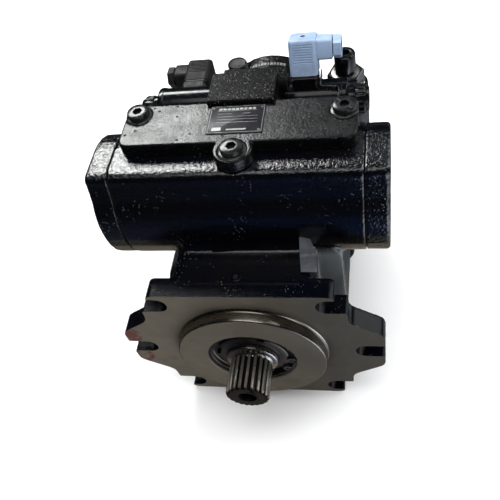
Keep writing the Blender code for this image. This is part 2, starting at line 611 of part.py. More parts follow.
def make_port_plate():
    plate = prism("port_plate", rounded(-95, 95, BOTTOM, 95, 22), "Y", PORT_FRONT, PORT_REAR)
    turret = turned(
        "turret_add", [(0, 40), (23.5, 40), (23.5, 126.5), (22.0, 128.0), (0, 128.0)],
        "Z", (TURRET_X, TURRET_Y), 28,
    )
    shoulder = turned(
        "shoulder_add", [(0, 30), (30.0, 30), (36.0, 44), (36.0, 108.0), (33.0, 112.0), (0, 112.0)], "Z",
        (79.5, 248.0), 28,
    )
    tower = turned(
        "tower_add", [(0, 60), (14.0, 60), (14.0, 132.0), (13.0, 133.0), (0, 133.0)], "Z", TOWER, 24
    )
    boss = prism("port_boss_add", rounded(PORT_FRONT + 4, PORT_REAR - 4, -78, 78, 10), "X", -99.0, -80.0)
    add(plate, turret, shoulder, tower, boss)
    hollow = [(0, 190), (66.0, 190), (66.0, 201.5), (34.0, 201.5), (34.0, 222.0), (18.0, 222.0)]
    hollow += [(18.0, 300.0), (0, 300.0)]
    cut(plate, turned("port_bore_cut", hollow, "Y", steps=32))
    cut(plate, bar("cartridge_cut", 15.0, "Z", 70.0, 140.0, (TURRET_X, TURRET_Y), 24))
    cut(plate, bar("tower_cut", 8.2, "Z", 112.0, 140.0, TOWER, 20))
    for side in (1, -1):
        z = side * 38.0
        cut(plate, bar(f"work_port_cut_{side}", 16.0, "X", -110.0, -50.0, (245.0, z), 20))
        cut(plate, bar(f"work_lead_cut_{side}", 11.0, "Y", 195.0, 250.0, (-45.0, z * 0.62), 12))
        cut(plate, bar(f"work_join_cut_{side}", 11.0, "X", -60.0, -30.0, (245.0, z), 12))
        for y in (245.0 - 33.35, 245.0 + 33.35):
            for dz in (-15.9, 15.9):
                tag = f"{side}_{int(y)}_{int(dz)}"
                cut(plate, bar(f"port_bolt_cut_{tag}", 6.2, "X", -105.0, -78.0, (y, z + dz), 6))
    finish(plate, PAINT, 0.4)

    seal = turned(
        "relief_cartridge",
        [(0, 82.0), (14.6, 82.0), (14.6, 128.3), (19.5, 128.3), (20.0, 130.5), (0, 130.5)],
        "Z", (TURRET_X, TURRET_Y), 24, (TURRET_X, TURRET_Y, 128.3),
    )
    add(seal, prism("cartridge_hex_add", hexagon(34.0, (TURRET_X, TURRET_Y), 10), "Z", 129.5, 142.5))
    finish(seal, STEEL, 0.35, 1.0)
    cap = turned(
        "relief_cap", [(0, 142.8), (11.0, 142.8), (11.0, 164.0), (10.0, 165.0), (0, 165.0)],
        "Z", (TURRET_X, TURRET_Y), 24, (TURRET_X, TURRET_Y, 142.8),
    )
    cut(cap, prism("cap_socket_cut", hexagon(8.0, (TURRET_X, TURRET_Y)), "Z", 159.0, 168.0))
    finish(cap, BLACK, 0.4)
    plug = turned(
        "tower_plug",
        [(0, 118.0), (7.8, 118.0), (7.8, 133.3), (10.6, 133.3), (10.6, 150.4), (9.6, 151.4), (0, 151.4)],
        "Z", TOWER, 20, (*TOWER, 133.3),
    )
    finish(plug, STEEL, 0.35, 0.9)
    small = turned(
        "neck_plug", [(0, 90.0), (3.6, 90.0), (3.6, 98.3), (5.2, 98.3), (5.2, 99.8), (0, 99.8)],
        "Z", NECK_PLUG, 16, (*NECK_PLUG, 98.3),
    )
    cut(small, prism("neck_socket_cut", hexagon(4.0, NECK_PLUG), "Z", 96.0, 103.0))
    finish(small, BLACK, 0.35, 0.6)


def gerotor_outline(teeth, centre_distance, ring_radius, lobe_radius, steps):
    """Inner rotor that keeps touching every round lobe of a ring with one more tooth."""
    lobes = teeth + 1
    outline = []
    for i in range(steps):
        t = 2 * math.pi * i / steps
        slope = ring_radius / (centre_distance * lobes) - math.cos((1 - lobes) * t)
        lean = math.atan2(math.sin((1 - lobes) * t), slope)
        x = ring_radius * math.cos(t) - lobe_radius * math.cos(t + lean)
        z = lobe_radius * math.sin(t + lean) - ring_radius * math.sin(t)
        outline.append((x - centre_distance * math.cos(lobes * t), z + centre_distance * math.sin(lobes * t)))
    return outline


def make_boost_pump():
    """Gerotor boost pump: inner rotor on the shaft, ring rotor on an offset centre, and its housing."""
    lobes = BOOST_TEETH + 1
    lobe_r = 5.0
    ring_r = 40.0
    teeth = gerotor_outline(BOOST_TEETH, BOOST_OFFSET, ring_r, lobe_r + 0.55, 90)
    inner = prism("boost_inner_gear", teeth, "Y", 292.0, 311.0)
    cut(inner, bar("boost_bore_cut", 15.3, "Y", 285.0, 320.0, (0, 0), 28))
    finish(inner, STEEL, 0.3, 1.0)
    outline = []
    wall = ring_r - lobe_r + 2 * BOOST_OFFSET + 0.4
    for i in range(lobes):
        mid = 2 * math.pi * i / lobes
        spread = math.acos((ring_r**2 + lobe_r**2 - wall**2) / (2 * ring_r * lobe_r))
        for k in range(9):
            turn = math.pi + spread - 2 * spread * k / 8
            x = ring_r * math.cos(mid) + lobe_r * math.cos(mid + turn)
            z = ring_r * math.sin(mid) + lobe_r * math.sin(mid + turn)
            outline.append((x - BOOST_OFFSET, z))
        gap_angle = math.pi / lobes
        outline.append((wall * math.cos(mid + gap_angle) - BOOST_OFFSET, wall * math.sin(mid + gap_angle)))
    centre = (-BOOST_OFFSET, 0.0)
    ring = bar("boost_outer_gear", 50.0, "Y", 292.0, 311.0, centre, 36, (-BOOST_OFFSET, 300.0, 0.0))
    cut(ring, prism("boost_ring_cut", outline, "Y", 280.0, 320.0))
    finish(ring, STEEL, 0.3, 1.0)

    wall = arc((-4.0, 42.0), 61.0, 170, 10, 16) + arc((0.0, 0.0), 76.0, 0, -180, 22)
    rim = arc((-4.0, 42.0), 57.0, 170, 10, 16) + arc((0.0, 0.0), 72.0, 0, -180, 22)
    housing = stack(
        "boost_pump_housing", [(wall, PORT_REAR + GAP), (wall, BOOST_REAR - 4), (rim, BOOST_REAR)], "Y"
    )
    cut(housing, bar("chamber_cut", 50.8, "Y", 280.0, 311.6, centre, 36))
    cut(housing, bar("shaft_room_cut", 17.0, "Y", 305.0, 322.0, (0, 0), 28))
    suction = bar("suction_add", 27.0, "Y", 320.0, BOOST_REAR - 0.5, (30.0, -48.0), 28)
    add(housing, suction)
    cut(housing, bar("suction_cut", 19.0, "Y", 300.0, 360.0, (30.0, -48.0), 28))
    finish(housing, PAINT, 0.4)


def main():
    clear_scene()
    make_housing()
    make_covers()
    make_stroking_piston()
    make_seal_group()
    make_shaft()
    make_bearings()
    make_swash_plate()
    make_rotating_group()
    make_valve_plate()
    make_control_top()
    make_valve_block()
    right_pivot = (201.0, 178.0)
    left_pivot = (235.0, 158.0)
    make_solenoid("right", 1, 34.3, 56.0, CONNECTOR_LEAN, right_pivot)
    make_solenoid("left", -1, 29.3, -65.0, math.radians(90.0), left_pivot)
    make_port_plate()
    make_boost_pump()
    frame = bpy.data.objects.new("pump_frame", None)
    bpy.context.scene.collection.objects.link(frame)
    for item in list(bpy.data.objects):
        if item is not frame:
            item.parent = frame
    frame.location = (0.0, -CENTRE_Y * MM, -BOTTOM * MM)


main()
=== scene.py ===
"""Studio picture of the axial piston pump: detailed pieces, procedural materials, light and camera.

Lengths are millimetres in the pump's own frame, X across the shaft, Y along the shaft from the mounting face
to the rear, and Z up from the shaft's axis. at() turns them into the frame's metres.
"""

import math

import bmesh
import bpy
import numpy as np
from mathutils import Matrix, Vector, noise


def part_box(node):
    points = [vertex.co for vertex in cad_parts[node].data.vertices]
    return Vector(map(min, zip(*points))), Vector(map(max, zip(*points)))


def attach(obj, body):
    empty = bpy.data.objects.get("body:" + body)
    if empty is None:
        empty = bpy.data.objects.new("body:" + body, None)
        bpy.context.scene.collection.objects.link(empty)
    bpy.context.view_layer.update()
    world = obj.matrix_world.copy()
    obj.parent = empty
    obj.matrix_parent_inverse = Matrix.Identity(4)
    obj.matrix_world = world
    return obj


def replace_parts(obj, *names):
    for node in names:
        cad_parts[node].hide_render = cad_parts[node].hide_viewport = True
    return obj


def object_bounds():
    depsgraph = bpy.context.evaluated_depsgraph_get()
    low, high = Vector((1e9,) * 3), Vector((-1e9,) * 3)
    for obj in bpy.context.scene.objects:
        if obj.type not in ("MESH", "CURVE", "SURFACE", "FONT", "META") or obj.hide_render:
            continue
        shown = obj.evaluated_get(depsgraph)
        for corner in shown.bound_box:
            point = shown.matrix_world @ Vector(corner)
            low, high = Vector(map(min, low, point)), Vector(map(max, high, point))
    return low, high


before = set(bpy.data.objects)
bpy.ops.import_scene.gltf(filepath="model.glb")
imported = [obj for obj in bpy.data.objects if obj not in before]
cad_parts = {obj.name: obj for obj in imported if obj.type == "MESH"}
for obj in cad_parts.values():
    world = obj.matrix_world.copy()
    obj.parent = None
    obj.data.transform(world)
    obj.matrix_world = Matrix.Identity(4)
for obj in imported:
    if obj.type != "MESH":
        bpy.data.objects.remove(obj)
CAD_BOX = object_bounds()

MM = 0.001
PILOT_HEIGHT = 12.7
PILOT_R = 76.2
SEAL_BORE_R = 45.6
FACE_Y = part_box("housing")[0].y + PILOT_HEIGHT * MM
SHAFT_Z = (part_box("drive_shaft")[0].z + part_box("drive_shaft")[1].z) / 2

PLATE_TOP = 192.0
SCREWS = {"left": (-94.0, 141.0), "right": (98.0, 137.0), "front": (3.0, 90.0)}
SPOOL = (205.0, 145.0)
COIL_R = 22.0
SERVO = (112.0, 119.0)
DOME, DOME_R = (-4.0, 42.0), 61.0
TURRET = (92.0, 254.0)
TOWER = (-25.0, 268.0)
NECK_PLUG = (-2.5, 21.0)

AXES = {
    "X": Matrix(((0, 0, 1), (1, 0, 0), (0, 1, 0))),
    "Y": Matrix(((1, 0, 0), (0, 0, 1), (0, 1, 0))),
    "Z": Matrix(((1, 0, 0), (0, 1, 0), (0, 0, 1))),
}


def at(x, y, z):
    return Vector((x * MM, FACE_Y + y * MM, SHAFT_Z + z * MM))


# Materials


def graph(name, colour=(0.5, 0.5, 0.5), roughness=0.5, metallic=0.0, **more):
    """A new material with its node tree and shader."""
    made = bpy.data.materials.new(name)
    made.use_nodes = True
    tree = made.node_tree
    shader = tree.nodes["Principled BSDF"]
    shader.inputs["Base Color"].default_value = (*colour, 1)
    shader.inputs["Roughness"].default_value = roughness
    shader.inputs["Metallic"].default_value = metallic
    for label, value in more.items():
        shader.inputs[label.replace("_", " ")].default_value = value
    return made, tree, shader


def new(tree, kind, **inputs):
    """A node with some of its input sockets set."""
    made = tree.nodes.new("ShaderNode" + kind)
    for label, value in inputs.items():
        made.inputs[label].default_value = value
    return made


def place_of(tree):
    return new(tree, "TexCoord").outputs["Object"]


def noise_of(tree, scale, detail=2.0, rough=0.5, where=None):
    made = new(tree, "TexNoise", Scale=scale, Detail=detail, Roughness=rough)
    tree.links.new(where or place_of(tree), made.inputs["Vector"])
    return made.outputs["Fac"]


def ramp(tree, value, low, high, start=0.0, end=1.0):
    """A value's range low to high stretched over start to end, and held outside it."""
    made = new(tree, "MapRange", **{"From Min": low, "From Max": high, "To Min": start, "To Max": end})
    tree.links.new(value, made.inputs["Value"])
    return made.outputs["Result"]


def times(tree, first, second):
    made = new(tree, "Math")
    made.operation = "MULTIPLY"
    for socket, value in zip(made.inputs, (first, second)):
        if isinstance(value, float):
            socket.default_value = value
        else:
            tree.links.new(value, socket)
    return made.outputs["Value"]


def either(tree, first, second):
    made = new(tree, "Math")
    made.operation = "MAXIMUM"
    tree.links.new(first, made.inputs[0])
    tree.links.new(second, made.inputs[1])
    return made.outputs["Value"]


def blend(tree, share, first, second):
    """One colour mixed into another. Colours are tuples or sockets."""
    made = new(tree, "Mix")
    made.data_type = "RGBA"
    tree.links.new(share, made.inputs["Factor"])
    for socket, value in ((made.inputs[6], first), (made.inputs[7], second)):
        if isinstance(value, tuple):
            socket.default_value = (*value, 1)
        else:
            tree.links.new(value, socket)
    return made.outputs[2]


def bump(tree, shader, *layers):
    """Stacks (height, strength, distance in metres) layers onto the shader's normal."""
    links = shader.inputs["Normal"].links
    last = links[0].from_socket if links else None
    for height, strength, distance in layers:
        made = new(tree, "Bump", Strength=strength, Distance=distance)
        tree.links.new(height, made.inputs["Height"])
        if last:
            tree.links.new(last, made.inputs["Normal"])
        last = made.outputs["Normal"]
    tree.links.new(last, shader.inputs["Normal"])


def along(tree, axis, low, high, start=0.0, end=1.0):
    """A ramp along one of the frame's axes."""
    split = new(tree, "SeparateXYZ")
    tree.links.new(place_of(tree), split.inputs[0])
    return ramp(tree, split.outputs[axis], low, high, start, end)


def vectors(tree, operation, value, other=None):
    """The outputs of a vector sum on a socket and a fixed vector."""
    made = new(tree, "VectorMath")
    made.operation = operation
    tree.links.new(value, made.inputs[0])
    if other is not None:
        made.inputs[1].default_value = other
    return made.outputs


def radial(tree, axis_at):
    """Distance from a line along Y through a point, for turning marks, oil rings and the spline's painted
    groove shade.
    """
    shift = vectors(tree, "SUBTRACT", place_of(tree), axis_at)[0]
    return vectors(tree, "LENGTH", vectors(tree, "MULTIPLY", shift, (1, 0, 1))[0])["Value"]


def near(tree, point, reach):
    """1 at a point of the frame, falling to 0 at a distance from it."""
    distance = vectors(tree, "DISTANCE", place_of(tree), point)["Value"]
    return ramp(tree, distance, reach * 0.35, reach, 1.0, 0.0)


def spots(tree, scale):
    """Distance from scattered points."""
    cells = new(tree, "TexVoronoi", Scale=scale, Randomness=1.0)
    tree.links.new(place_of(tree), cells.inputs["Vector"])
    return cells.outputs["Distance"]


def surface(tree, shader, colour, scale, detail, low, high):
    """Sets a colour, and a roughness that wanders between two values."""
    tree.links.new(colour, shader.inputs["Base Color"])
    rough = ramp(tree, noise_of(tree, scale, detail), 0.3, 0.7, low, high)
    tree.links.new(rough, shader.inputs["Roughness"])


def lay_over(tree, share, colour):
    """Lays a second colour over the shader's own."""
    socket = tree.nodes["Principled BSDF"].inputs["Base Color"]
    tree.links.new(blend(tree, share, socket.links[0].from_socket, colour), socket)


def edges(tree, low=0.53, high=0.58):
    """Convex edges, broken up so that wear is patchy."""
    geometry = new(tree, "NewGeometry")
    sharp = ramp(tree, geometry.outputs["Pointiness"], low, high)
    return times(tree, sharp, ramp(tree, noise_of(tree, 120.0, 4.0, 0.6), 0.42, 0.6))


def paint(name, pebble, depth, tint=(0.0009, 0.0013, 0.0030), wear=0.6, gloss=0.24, speck=0.11, spread=0.56,
          calm=1.0, shine=0.5):
    """Gloss black over cast iron: pebbled, a little dusty, with bare specks and rubbed edges."""
    made, tree, shader = graph(name, Specular_IOR_Level=shine)
    patches = ramp(tree, noise_of(tree, 22.0, 4.0, 0.6), 0.35, 0.7)
    colour = blend(tree, patches, tint, (0.0016, 0.0015, 0.0019))
    dust = times(tree, ramp(tree, noise_of(tree, 9.0, 5.0, 0.65), 0.55, 0.8), 0.12)
    colour = blend(tree, dust, colour, (0.012, 0.011, 0.010))
    specks = ramp(tree, spots(tree, 400.0), speck, speck * 0.6)
    specks = times(tree, specks, ramp(tree, noise_of(tree, 38.0, 3.0, 0.6), spread, spread + 0.06))
    colour = blend(tree, specks, colour, (0.34, 0.34, 0.35))
    bare = times(tree, edges(tree), wear)
    colour = blend(tree, bare, colour, (0.20, 0.19, 0.17))
    tree.links.new(colour, shader.inputs["Base Color"])
    sheen = ramp(tree, noise_of(tree, 55.0, 4.0, 0.6), 0.3, 0.75, gloss - 0.08, gloss + 0.14)
    tree.links.new(either(tree, sheen, times(tree, bare, 0.45)), shader.inputs["Roughness"])
    tree.links.new(times(tree, bare, 0.8), shader.inputs["Metallic"])
    rise = along(tree, "Z", SHAFT_Z + 0.140, SHAFT_Z + 0.172, calm)
    swell = times(tree, noise_of(tree, pebble, 2.0, 0.55), rise)
    bump(tree, shader,
         (swell, 0.8, depth),
         (noise_of(tree, pebble * 4.5, 3.0, 0.6), 0.35, depth * 0.35),
         (specks, 0.5, 0.0003))
    return made


def duller_front(made):
    """Less sheen on the flange and neck than behind them, and a painted reflection, light bluish grey, on the
    shaded face beside the neck.
    """
    tree = made.node_tree
    level = along(tree, "Y", FACE_Y + 0.034, FACE_Y + 0.060, 0.12, 1.0)
    tree.links.new(level, tree.nodes["Principled BSDF"].inputs["Specular IOR Level"])
    # Painted reflection: a light bluish grey laid on the shaded housing face right of the neck.
    painted_reflection = times(tree, along(tree, "X", 0.062, 0.066), along(tree, "Y", FACE_Y + 0.050, FACE_Y + 0.054))
    painted_reflection = times(tree, painted_reflection, along(tree, "Y", FACE_Y + 0.074, FACE_Y + 0.062))
    painted_reflection = times(tree, painted_reflection, along(tree, "Z", SHAFT_Z + 0.094, SHAFT_Z + 0.084))
    painted_reflection = times(tree, painted_reflection, ramp(tree, noise_of(tree, 26.0, 4.0, 0.6), 0.30, 0.55, 0.6, 1.0))
    lay_over(tree, painted_reflection, (0.14, 0.155, 0.165))
    return made


def worn_corner(made):
    """Bare metal broken along the valve block's upper right edge."""
    tree = made.node_tree
    line = times(tree, along(tree, "X", 0.032, 0.033), along(tree, "Z", SHAFT_Z + 0.2175, SHAFT_Z + 0.219))
    line = times(tree, line, ramp(tree, noise_of(tree, 420.0, 4.0, 0.7), 0.40, 0.50))
    lay_over(tree, line, (0.52, 0.51, 0.47))
    return made


def blemished(made):
    """Adds low waves and small dark pits to a paint."""
    tree = made.node_tree
    shader = tree.nodes["Principled BSDF"]
    pits = ramp(tree, spots(tree, 120.0), 0.17, 0.11)
    pits = times(tree, pits, ramp(tree, noise_of(tree, 30.0), 0.47, 0.52))
    uneven = shader.inputs["Roughness"].links[0].from_socket
    tree.links.new(either(tree, uneven, times(tree, pits, 0.75)), shader.inputs["Roughness"])
    bump(tree, shader, (noise_of(tree, 75.0, 3.0, 0.55), 0.5, 0.0005), (pits, 0.6, 0.0006))
    shader.inputs["Normal"].links[0].from_node.invert = True
    return made


def machined_iron():
    """Faced cast iron: fine rings about the shaft, brown-grey, oil-stained, darkened towards the right as
    painted shade, with primer on two ear tips.
    """
    made, tree, shader = graph("machined_iron", metallic=0.4)
    distance = radial(tree, (0, 0, SHAFT_Z))
    stains = ramp(tree, noise_of(tree, 14.0, 6.0, 0.65), 0.3, 0.72)
    colour = blend(tree, stains, (0.145, 0.124, 0.091), (0.215, 0.187, 0.141))
    smear = ramp(tree, noise_of(tree, 34.0, 5.0, 0.7), 0.58, 0.75)
    colour = blend(tree, times(tree, smear, 0.5), colour, (0.060, 0.052, 0.043))
    # Painted shade: the face darkens towards the right (+X).
    colour = blend(tree, along(tree, "X", -0.03, 0.08, 0.0, 0.72), colour, (0.052, 0.052, 0.045))
    wet = times(tree, ramp(tree, distance, 0.084, 0.0785), ramp(tree, distance, 0.0760, 0.0766))
    wet = times(tree, wet, ramp(tree, noise_of(tree, 26.0), 0.35, 0.6))
    colour = blend(tree, times(tree, wet, 0.6), colour, (0.035, 0.032, 0.030))
    ragged = ramp(tree, noise_of(tree, 60.0, 4.0, 0.7), 0.42, 0.5)
    primer = either(tree, near(tree, at(-131, 0, 23), 0.020), near(tree, at(-132, 0, -19), 0.022))
    primer = times(tree, ramp(tree, primer, 0.25, 0.4), ragged)
    colour = blend(tree, primer, colour, (0.120, 0.030, 0.020))
    tree.links.new(colour, shader.inputs["Base Color"])
    rough = ramp(tree, noise_of(tree, 48.0, 5.0, 0.6), 0.3, 0.7, 0.36, 0.52)
    tree.links.new(either(tree, rough, times(tree, primer, 0.7)), shader.inputs["Roughness"])
    tree.links.new(ramp(tree, primer, 0.0, 1.0, 0.4, 0.0), shader.inputs["Metallic"])
    rings = new(tree, "Math")
    rings.operation = "PINGPONG"
    rings.inputs[1].default_value = 0.00045
    tree.links.new(distance, rings.inputs[0])
    bump(tree, shader, (noise_of(tree, 1500.0, 3.0, 0.6), 0.15, 0.0002), (rings.outputs[0], 0.35, 0.25))
    return made


def steel(name, colour=(0.50, 0.49, 0.47), roughness=0.26, brush=(400.0, 12.0, 400.0), oil=0.4, fine=0.12):
    """Machined steel with fine marks stretched along one direction, and thin oil stains."""
    made, tree, shader = graph(name, metallic=1.0)
    marks = noise_of(tree, 6.0, 4.0, 0.6, vectors(tree, "MULTIPLY", place_of(tree), brush)[0])
    stains = ramp(tree, noise_of(tree, 45.0, 5.0, 0.65), 0.45, 0.7)
    darker = tuple(value * 0.42 for value in colour)
    tree.links.new(blend(tree, times(tree, stains, oil), colour, darker), shader.inputs["Base Color"])
    tree.links.new(ramp(tree, marks, 0.3, 0.7, roughness - 0.07, roughness + 0.12),
                   shader.inputs["Roughness"])
    bump(tree, shader, (marks, fine, 0.0002))
    return made


def spline_steel():
    """Bright lands on the spline's teeth, and grooves coloured near black as painted shade."""
    made, tree, shader = graph("spline_steel", metallic=0.9)
    # Painted shade: below the tooth lands the colour turns near black, so the grooves read dark.
    height = ramp(tree, radial(tree, (0, 0, SHAFT_Z)), 0.0199, 0.0213)
    tone = ramp(tree, noise_of(tree, 90.0, 5.0, 0.6), 0.3, 0.7)
    land = blend(tree, tone, (0.22, 0.205, 0.18), (0.42, 0.39, 0.345))
    surface(tree, shader, blend(tree, height, (0.012, 0.011, 0.010), land), 260.0, 4.0, 0.26, 0.42)
    bump(tree, shader, (noise_of(tree, 900.0, 3.0, 0.6), 0.2, 0.0002))
    return made


def bronze():
    made, tree, shader = graph("bronze", metallic=1.0)
    stains = ramp(tree, noise_of(tree, 60.0, 5.0, 0.6), 0.3, 0.7)
    surface(tree, shader, blend(tree, stains, (0.52, 0.33, 0.15), (0.34, 0.20, 0.09)), 150.0, 4.0, 0.25, 0.42)
    bump(tree, shader, (noise_of(tree, 900.0, 3.0), 0.15, 0.0002))
    return made


def plastic(name, light, dark, roughness, speck=2200.0, shine=0.45):
    """Moulded plastic: fine spark-eroded grain, rubbed and slightly grimy."""
    made, tree, shader = graph(name, Specular_IOR_Level=shine)
    grime = ramp(tree, noise_of(tree, 70.0, 5.0, 0.65), 0.45, 0.75)
    surface(tree, shader, blend(tree, grime, light, dark), 120.0, 4.0, roughness - 0.06, roughness + 0.1)
    bump(tree, shader, (noise_of(tree, speck, 2.0), 0.25, 0.00015))
    return made


def rubber():
    made, tree, shader = graph("seal_rubber")
    tone = ramp(tree, noise_of(tree, 180.0, 4.0), 0.3, 0.7)
    colour = blend(tree, tone, (0.010, 0.010, 0.010), (0.030, 0.028, 0.026))
    surface(tree, shader, colour, 300.0, 3.0, 0.40, 0.62)
    bump(tree, shader, (noise_of(tree, 1600.0, 3.0), 0.2, 0.0002))
    return made


def black_steel(name="black_steel", light=(0.022, 0.022, 0.024), metal=0.3, roughness=0.28, shine=0.5):
    """Blackened or thinly painted steel of screws, rings and nuts."""
    made, tree, shader = graph(name, metallic=metal, Specular_IOR_Level=shine)
    tone = ramp(tree, noise_of(tree, 160.0, 5.0, 0.6), 0.35, 0.7)
    colour = blend(tree, tone, tuple(value * 0.4 for value in light), light)
    bare = times(tree, edges(tree, 0.55, 0.65), 0.5)
    colour = blend(tree, bare, colour, (0.25, 0.24, 0.22))
    surface(tree, shader, colour, 240.0, 4.0, roughness - 0.06, roughness + 0.10)
    bump(tree, shader, (noise_of(tree, 1100.0, 3.0), 0.2, 0.00015))
    return made


def pale_floor():
    made, tree, shader = graph("pale_floor", roughness=0.9)
    tone = ramp(tree, noise_of(tree, 3.0, 3.0), 0.3, 0.7)
    tree.links.new(blend(tree, tone, (0.93, 0.93, 0.93), (0.95, 0.95, 0.95)), shader.inputs["Base Color"])
    return made


HOUSING_PAINT = duller_front(paint("housing_paint", 330.0, 0.0009, wear=0.1, gloss=0.10, calm=0.10,
                                   speck=0.12, spread=0.53))
WEB_PAINT = paint("web_paint", 330.0, 0.0009, wear=0.0, gloss=0.15, calm=0.12, speck=0.14, shine=0.3)
# Painted reflection: the gusset's black paint is tinted light bluish grey, standing in for the room mirrored
# in a face that the lamps barely reach.
GUSSET_PAINTED_REFLECTION = paint("gusset_painted_reflection", 300.0, 0.0006, tint=(0.070, 0.077, 0.088), wear=0.0, gloss=0.3,
                     speck=0.14)
COVER_PAINT = paint("cover_paint", 310.0, 0.0010, wear=0.06, gloss=0.10, speck=0.15, spread=0.48, shine=1.0)
PLATE_PAINT = blemished(paint("plate_paint", 480.0, 0.00036, tint=(0.0030, 0.0034, 0.0036), gloss=0.22,
                              shine=0.40))
BLOCK_PAINT = worn_corner(paint("block_paint", 420.0, 0.0005, tint=(0.0045, 0.0045, 0.0045), wear=1.0,
                                gloss=0.30, speck=0.17, spread=0.44, shine=0.06))
REAR_PAINT = paint("rear_paint", 230.0, 0.0010, tint=(0.0030, 0.0030, 0.0034), gloss=0.2, shine=0.3)
IRON = machined_iron()
MARK_PAINT = paint("mark_paint", 600.0, 0.0003, tint=(0.40, 0.40, 0.385), wear=0.0, gloss=0.4, speck=0.2)
RING_STEEL = steel("ring_steel", (0.46, 0.44, 0.41), 0.25, (40.0, 160.0, 40.0), oil=0.3, fine=0.03)
DARK_STEEL = steel("dark_steel", (0.24, 0.23, 0.215), 0.33, (90.0, 90.0, 90.0), oil=0.6)
INNER_STEEL = steel("inner_steel", (0.56, 0.56, 0.55), 0.22, (200.0, 40.0, 200.0), oil=0.25)
BRONZE = bronze()
RUBBER = rubber()
# Painted shade: the screw sockets' inner faces are near black and matte, darker than the heads.
SOCKET_PAINTED_SHADE = black_steel("socket_painted_shade", (0.004, 0.004, 0.004), 0.0, 0.55)
BLACKED = black_steel(roughness=0.17)
PLUG_STEEL = black_steel("plug_steel", (0.030, 0.029, 0.028), 0.5)
COIL_BLACK = black_steel("coil_black", (0.004, 0.0045, 0.006), 0.0, 0.13, 0.35)
SEAT_BLACK = black_steel("seat_black", (0.004, 0.004, 0.005), 0.0, 0.30, 0.08)
CAP_BLACK = black_steel("cap_black", (0.003, 0.0035, 0.005), 0.0, 0.16)
SPLINE_STEEL = spline_steel()
PILOT_STEEL = steel("pilot_steel", (0.30, 0.275, 0.235), 0.24, (8.0, 300.0, 8.0), oil=0.12, fine=0.03)
CARRIER_IRON = steel("carrier_iron", (0.22, 0.20, 0.17), 0.42, (90.0, 90.0, 90.0), oil=0.6)
BLACK_PLASTIC = plastic("black_plastic", (0.012, 0.012, 0.013), (0.026, 0.024, 0.022), 0.34, shine=0.08)
BLUE_PLASTIC = plastic("blue_grey_plastic", (0.330, 0.440, 0.625), (0.230, 0.300, 0.420), 0.40)
FOIL = plastic("name_plate_foil", (0.010, 0.010, 0.013), (0.022, 0.021, 0.024), 0.32, 900.0, 0.2)
PRINT = steel("name_plate_print", (0.30, 0.30, 0.30), 0.45, (90.0, 90.0, 90.0))


# Mesh tools


def make(name, points, faces, finish, body="pump_body", sharp=35.0):
    """A closed piece from points in the pump's frame, riding on a body."""
    mesh = bpy.data.meshes.new(name)
    mesh.from_pydata([at(*p) for p in points], [], faces)
    work = bmesh.new()
    work.from_mesh(mesh)
    bmesh.ops.remove_doubles(work, verts=work.verts, dist=1e-7)
    bmesh.ops.recalc_face_normals(work, faces=work.faces)
    work.to_mesh(mesh)
    work.free()
    piece = bpy.data.objects.new(name, mesh)
    bpy.context.scene.collection.objects.link(piece)
    mesh.materials.append(finish)
    mesh.shade_smooth()
    mesh.set_sharp_from_angle(angle=math.radians(sharp))
    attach(piece, body)
    return piece


def to_axis(axis, u, v, w):
    """A point from two coordinates across an axis and one along it. The axis may also be a mapping."""
    return axis(u, v, w) if callable(axis) else tuple(AXES[axis] @ Vector((u, v, w)))


def polar(centre, radius, angle):
    return centre[0] + radius * math.cos(angle), centre[1] + radius * math.sin(angle)


def turned(name, profile, axis, centre, finish, steps=96, **more):
    """A round piece from (radius, distance) points; a profile off the axis closes into a ring."""
    points = []
    rings = []
    for radius, w in profile:
        count = 1 if radius < 1e-6 else steps
        rings.append(list(range(len(points), len(points) + count)))
        for i in range(count):
            points.append(to_axis(axis, *polar(centre, radius, 2 * math.pi * i / steps), w))
    pairs = list(zip(rings, rings[1:]))
    if profile[0][0] > 1e-6 and profile[-1][0] > 1e-6:
        pairs.append((rings[-1], rings[0]))
    faces = []
    for first, second in pairs:
        for i in range(steps):
            j = (i + 1) % steps
            if len(first) == 1 and len(second) > 1:
                faces.append((first[0], second[i], second[j]))
            elif len(second) == 1 and len(first) > 1:
                faces.append((first[i], first[j], second[0]))
            elif len(first) > 1:
                faces.append((first[i], first[j], second[j], second[i]))
    return make(name, points, faces, finish, **more)


def stack(name, layers, axis, finish, **more):
    """A piece through outlines of equal count at rising distances along an axis."""
    count = len(layers[0][0])
    points = [to_axis(axis, u, v, w) for outline, w in layers for u, v in outline]
    last = (len(layers) - 1) * count
    faces = [tuple(range(count)), tuple(range(last + count - 1, last - 1, -1))]
    for k in range(len(layers) - 1):
        for i in range(count):
            j = (i + 1) % count
            low, high = k * count, (k + 1) * count
            faces.append((low + i, low + j, high + j, high + i))
    return make(name, points, faces, finish, **more)


def arc(centre, radius, start, end, steps):
    turns = [math.radians(start + (end - start) * i / steps) for i in range(steps + 1)]
    return [polar(centre, radius, turn) for turn in turns]


def rounded(left, right, low, high, radius, steps=5):
    outline = arc((right - radius, high - radius), radius, 90, 0, steps)
    outline += arc((right - radius, low + radius), radius, 0, -90, steps)
    outline += arc((left + radius, low + radius), radius, -90, -180, steps)
    outline += arc((left + radius, high - radius), radius, 180, 90, steps)
    return outline


def regular(corners, across, centre, turn=0.0):
    """A regular outline by its width across flats."""
    reach = across / 2 / math.cos(math.pi / corners)
    turns = [2 * math.pi * i / corners + math.radians(turn) for i in range(corners)]
    return [polar(centre, reach, angle) for angle in turns]


def soften(piece, width, segments=3, angle=30.0):
    """Rounds a piece's edges."""
    edge = piece.modifiers.new("edge", "BEVEL")
    edge.width = width * MM
    edge.segments = segments
    edge.limit_method = "ANGLE"
    edge.angle_limit = math.radians(angle)
    edge.harden_normals = True
    return piece


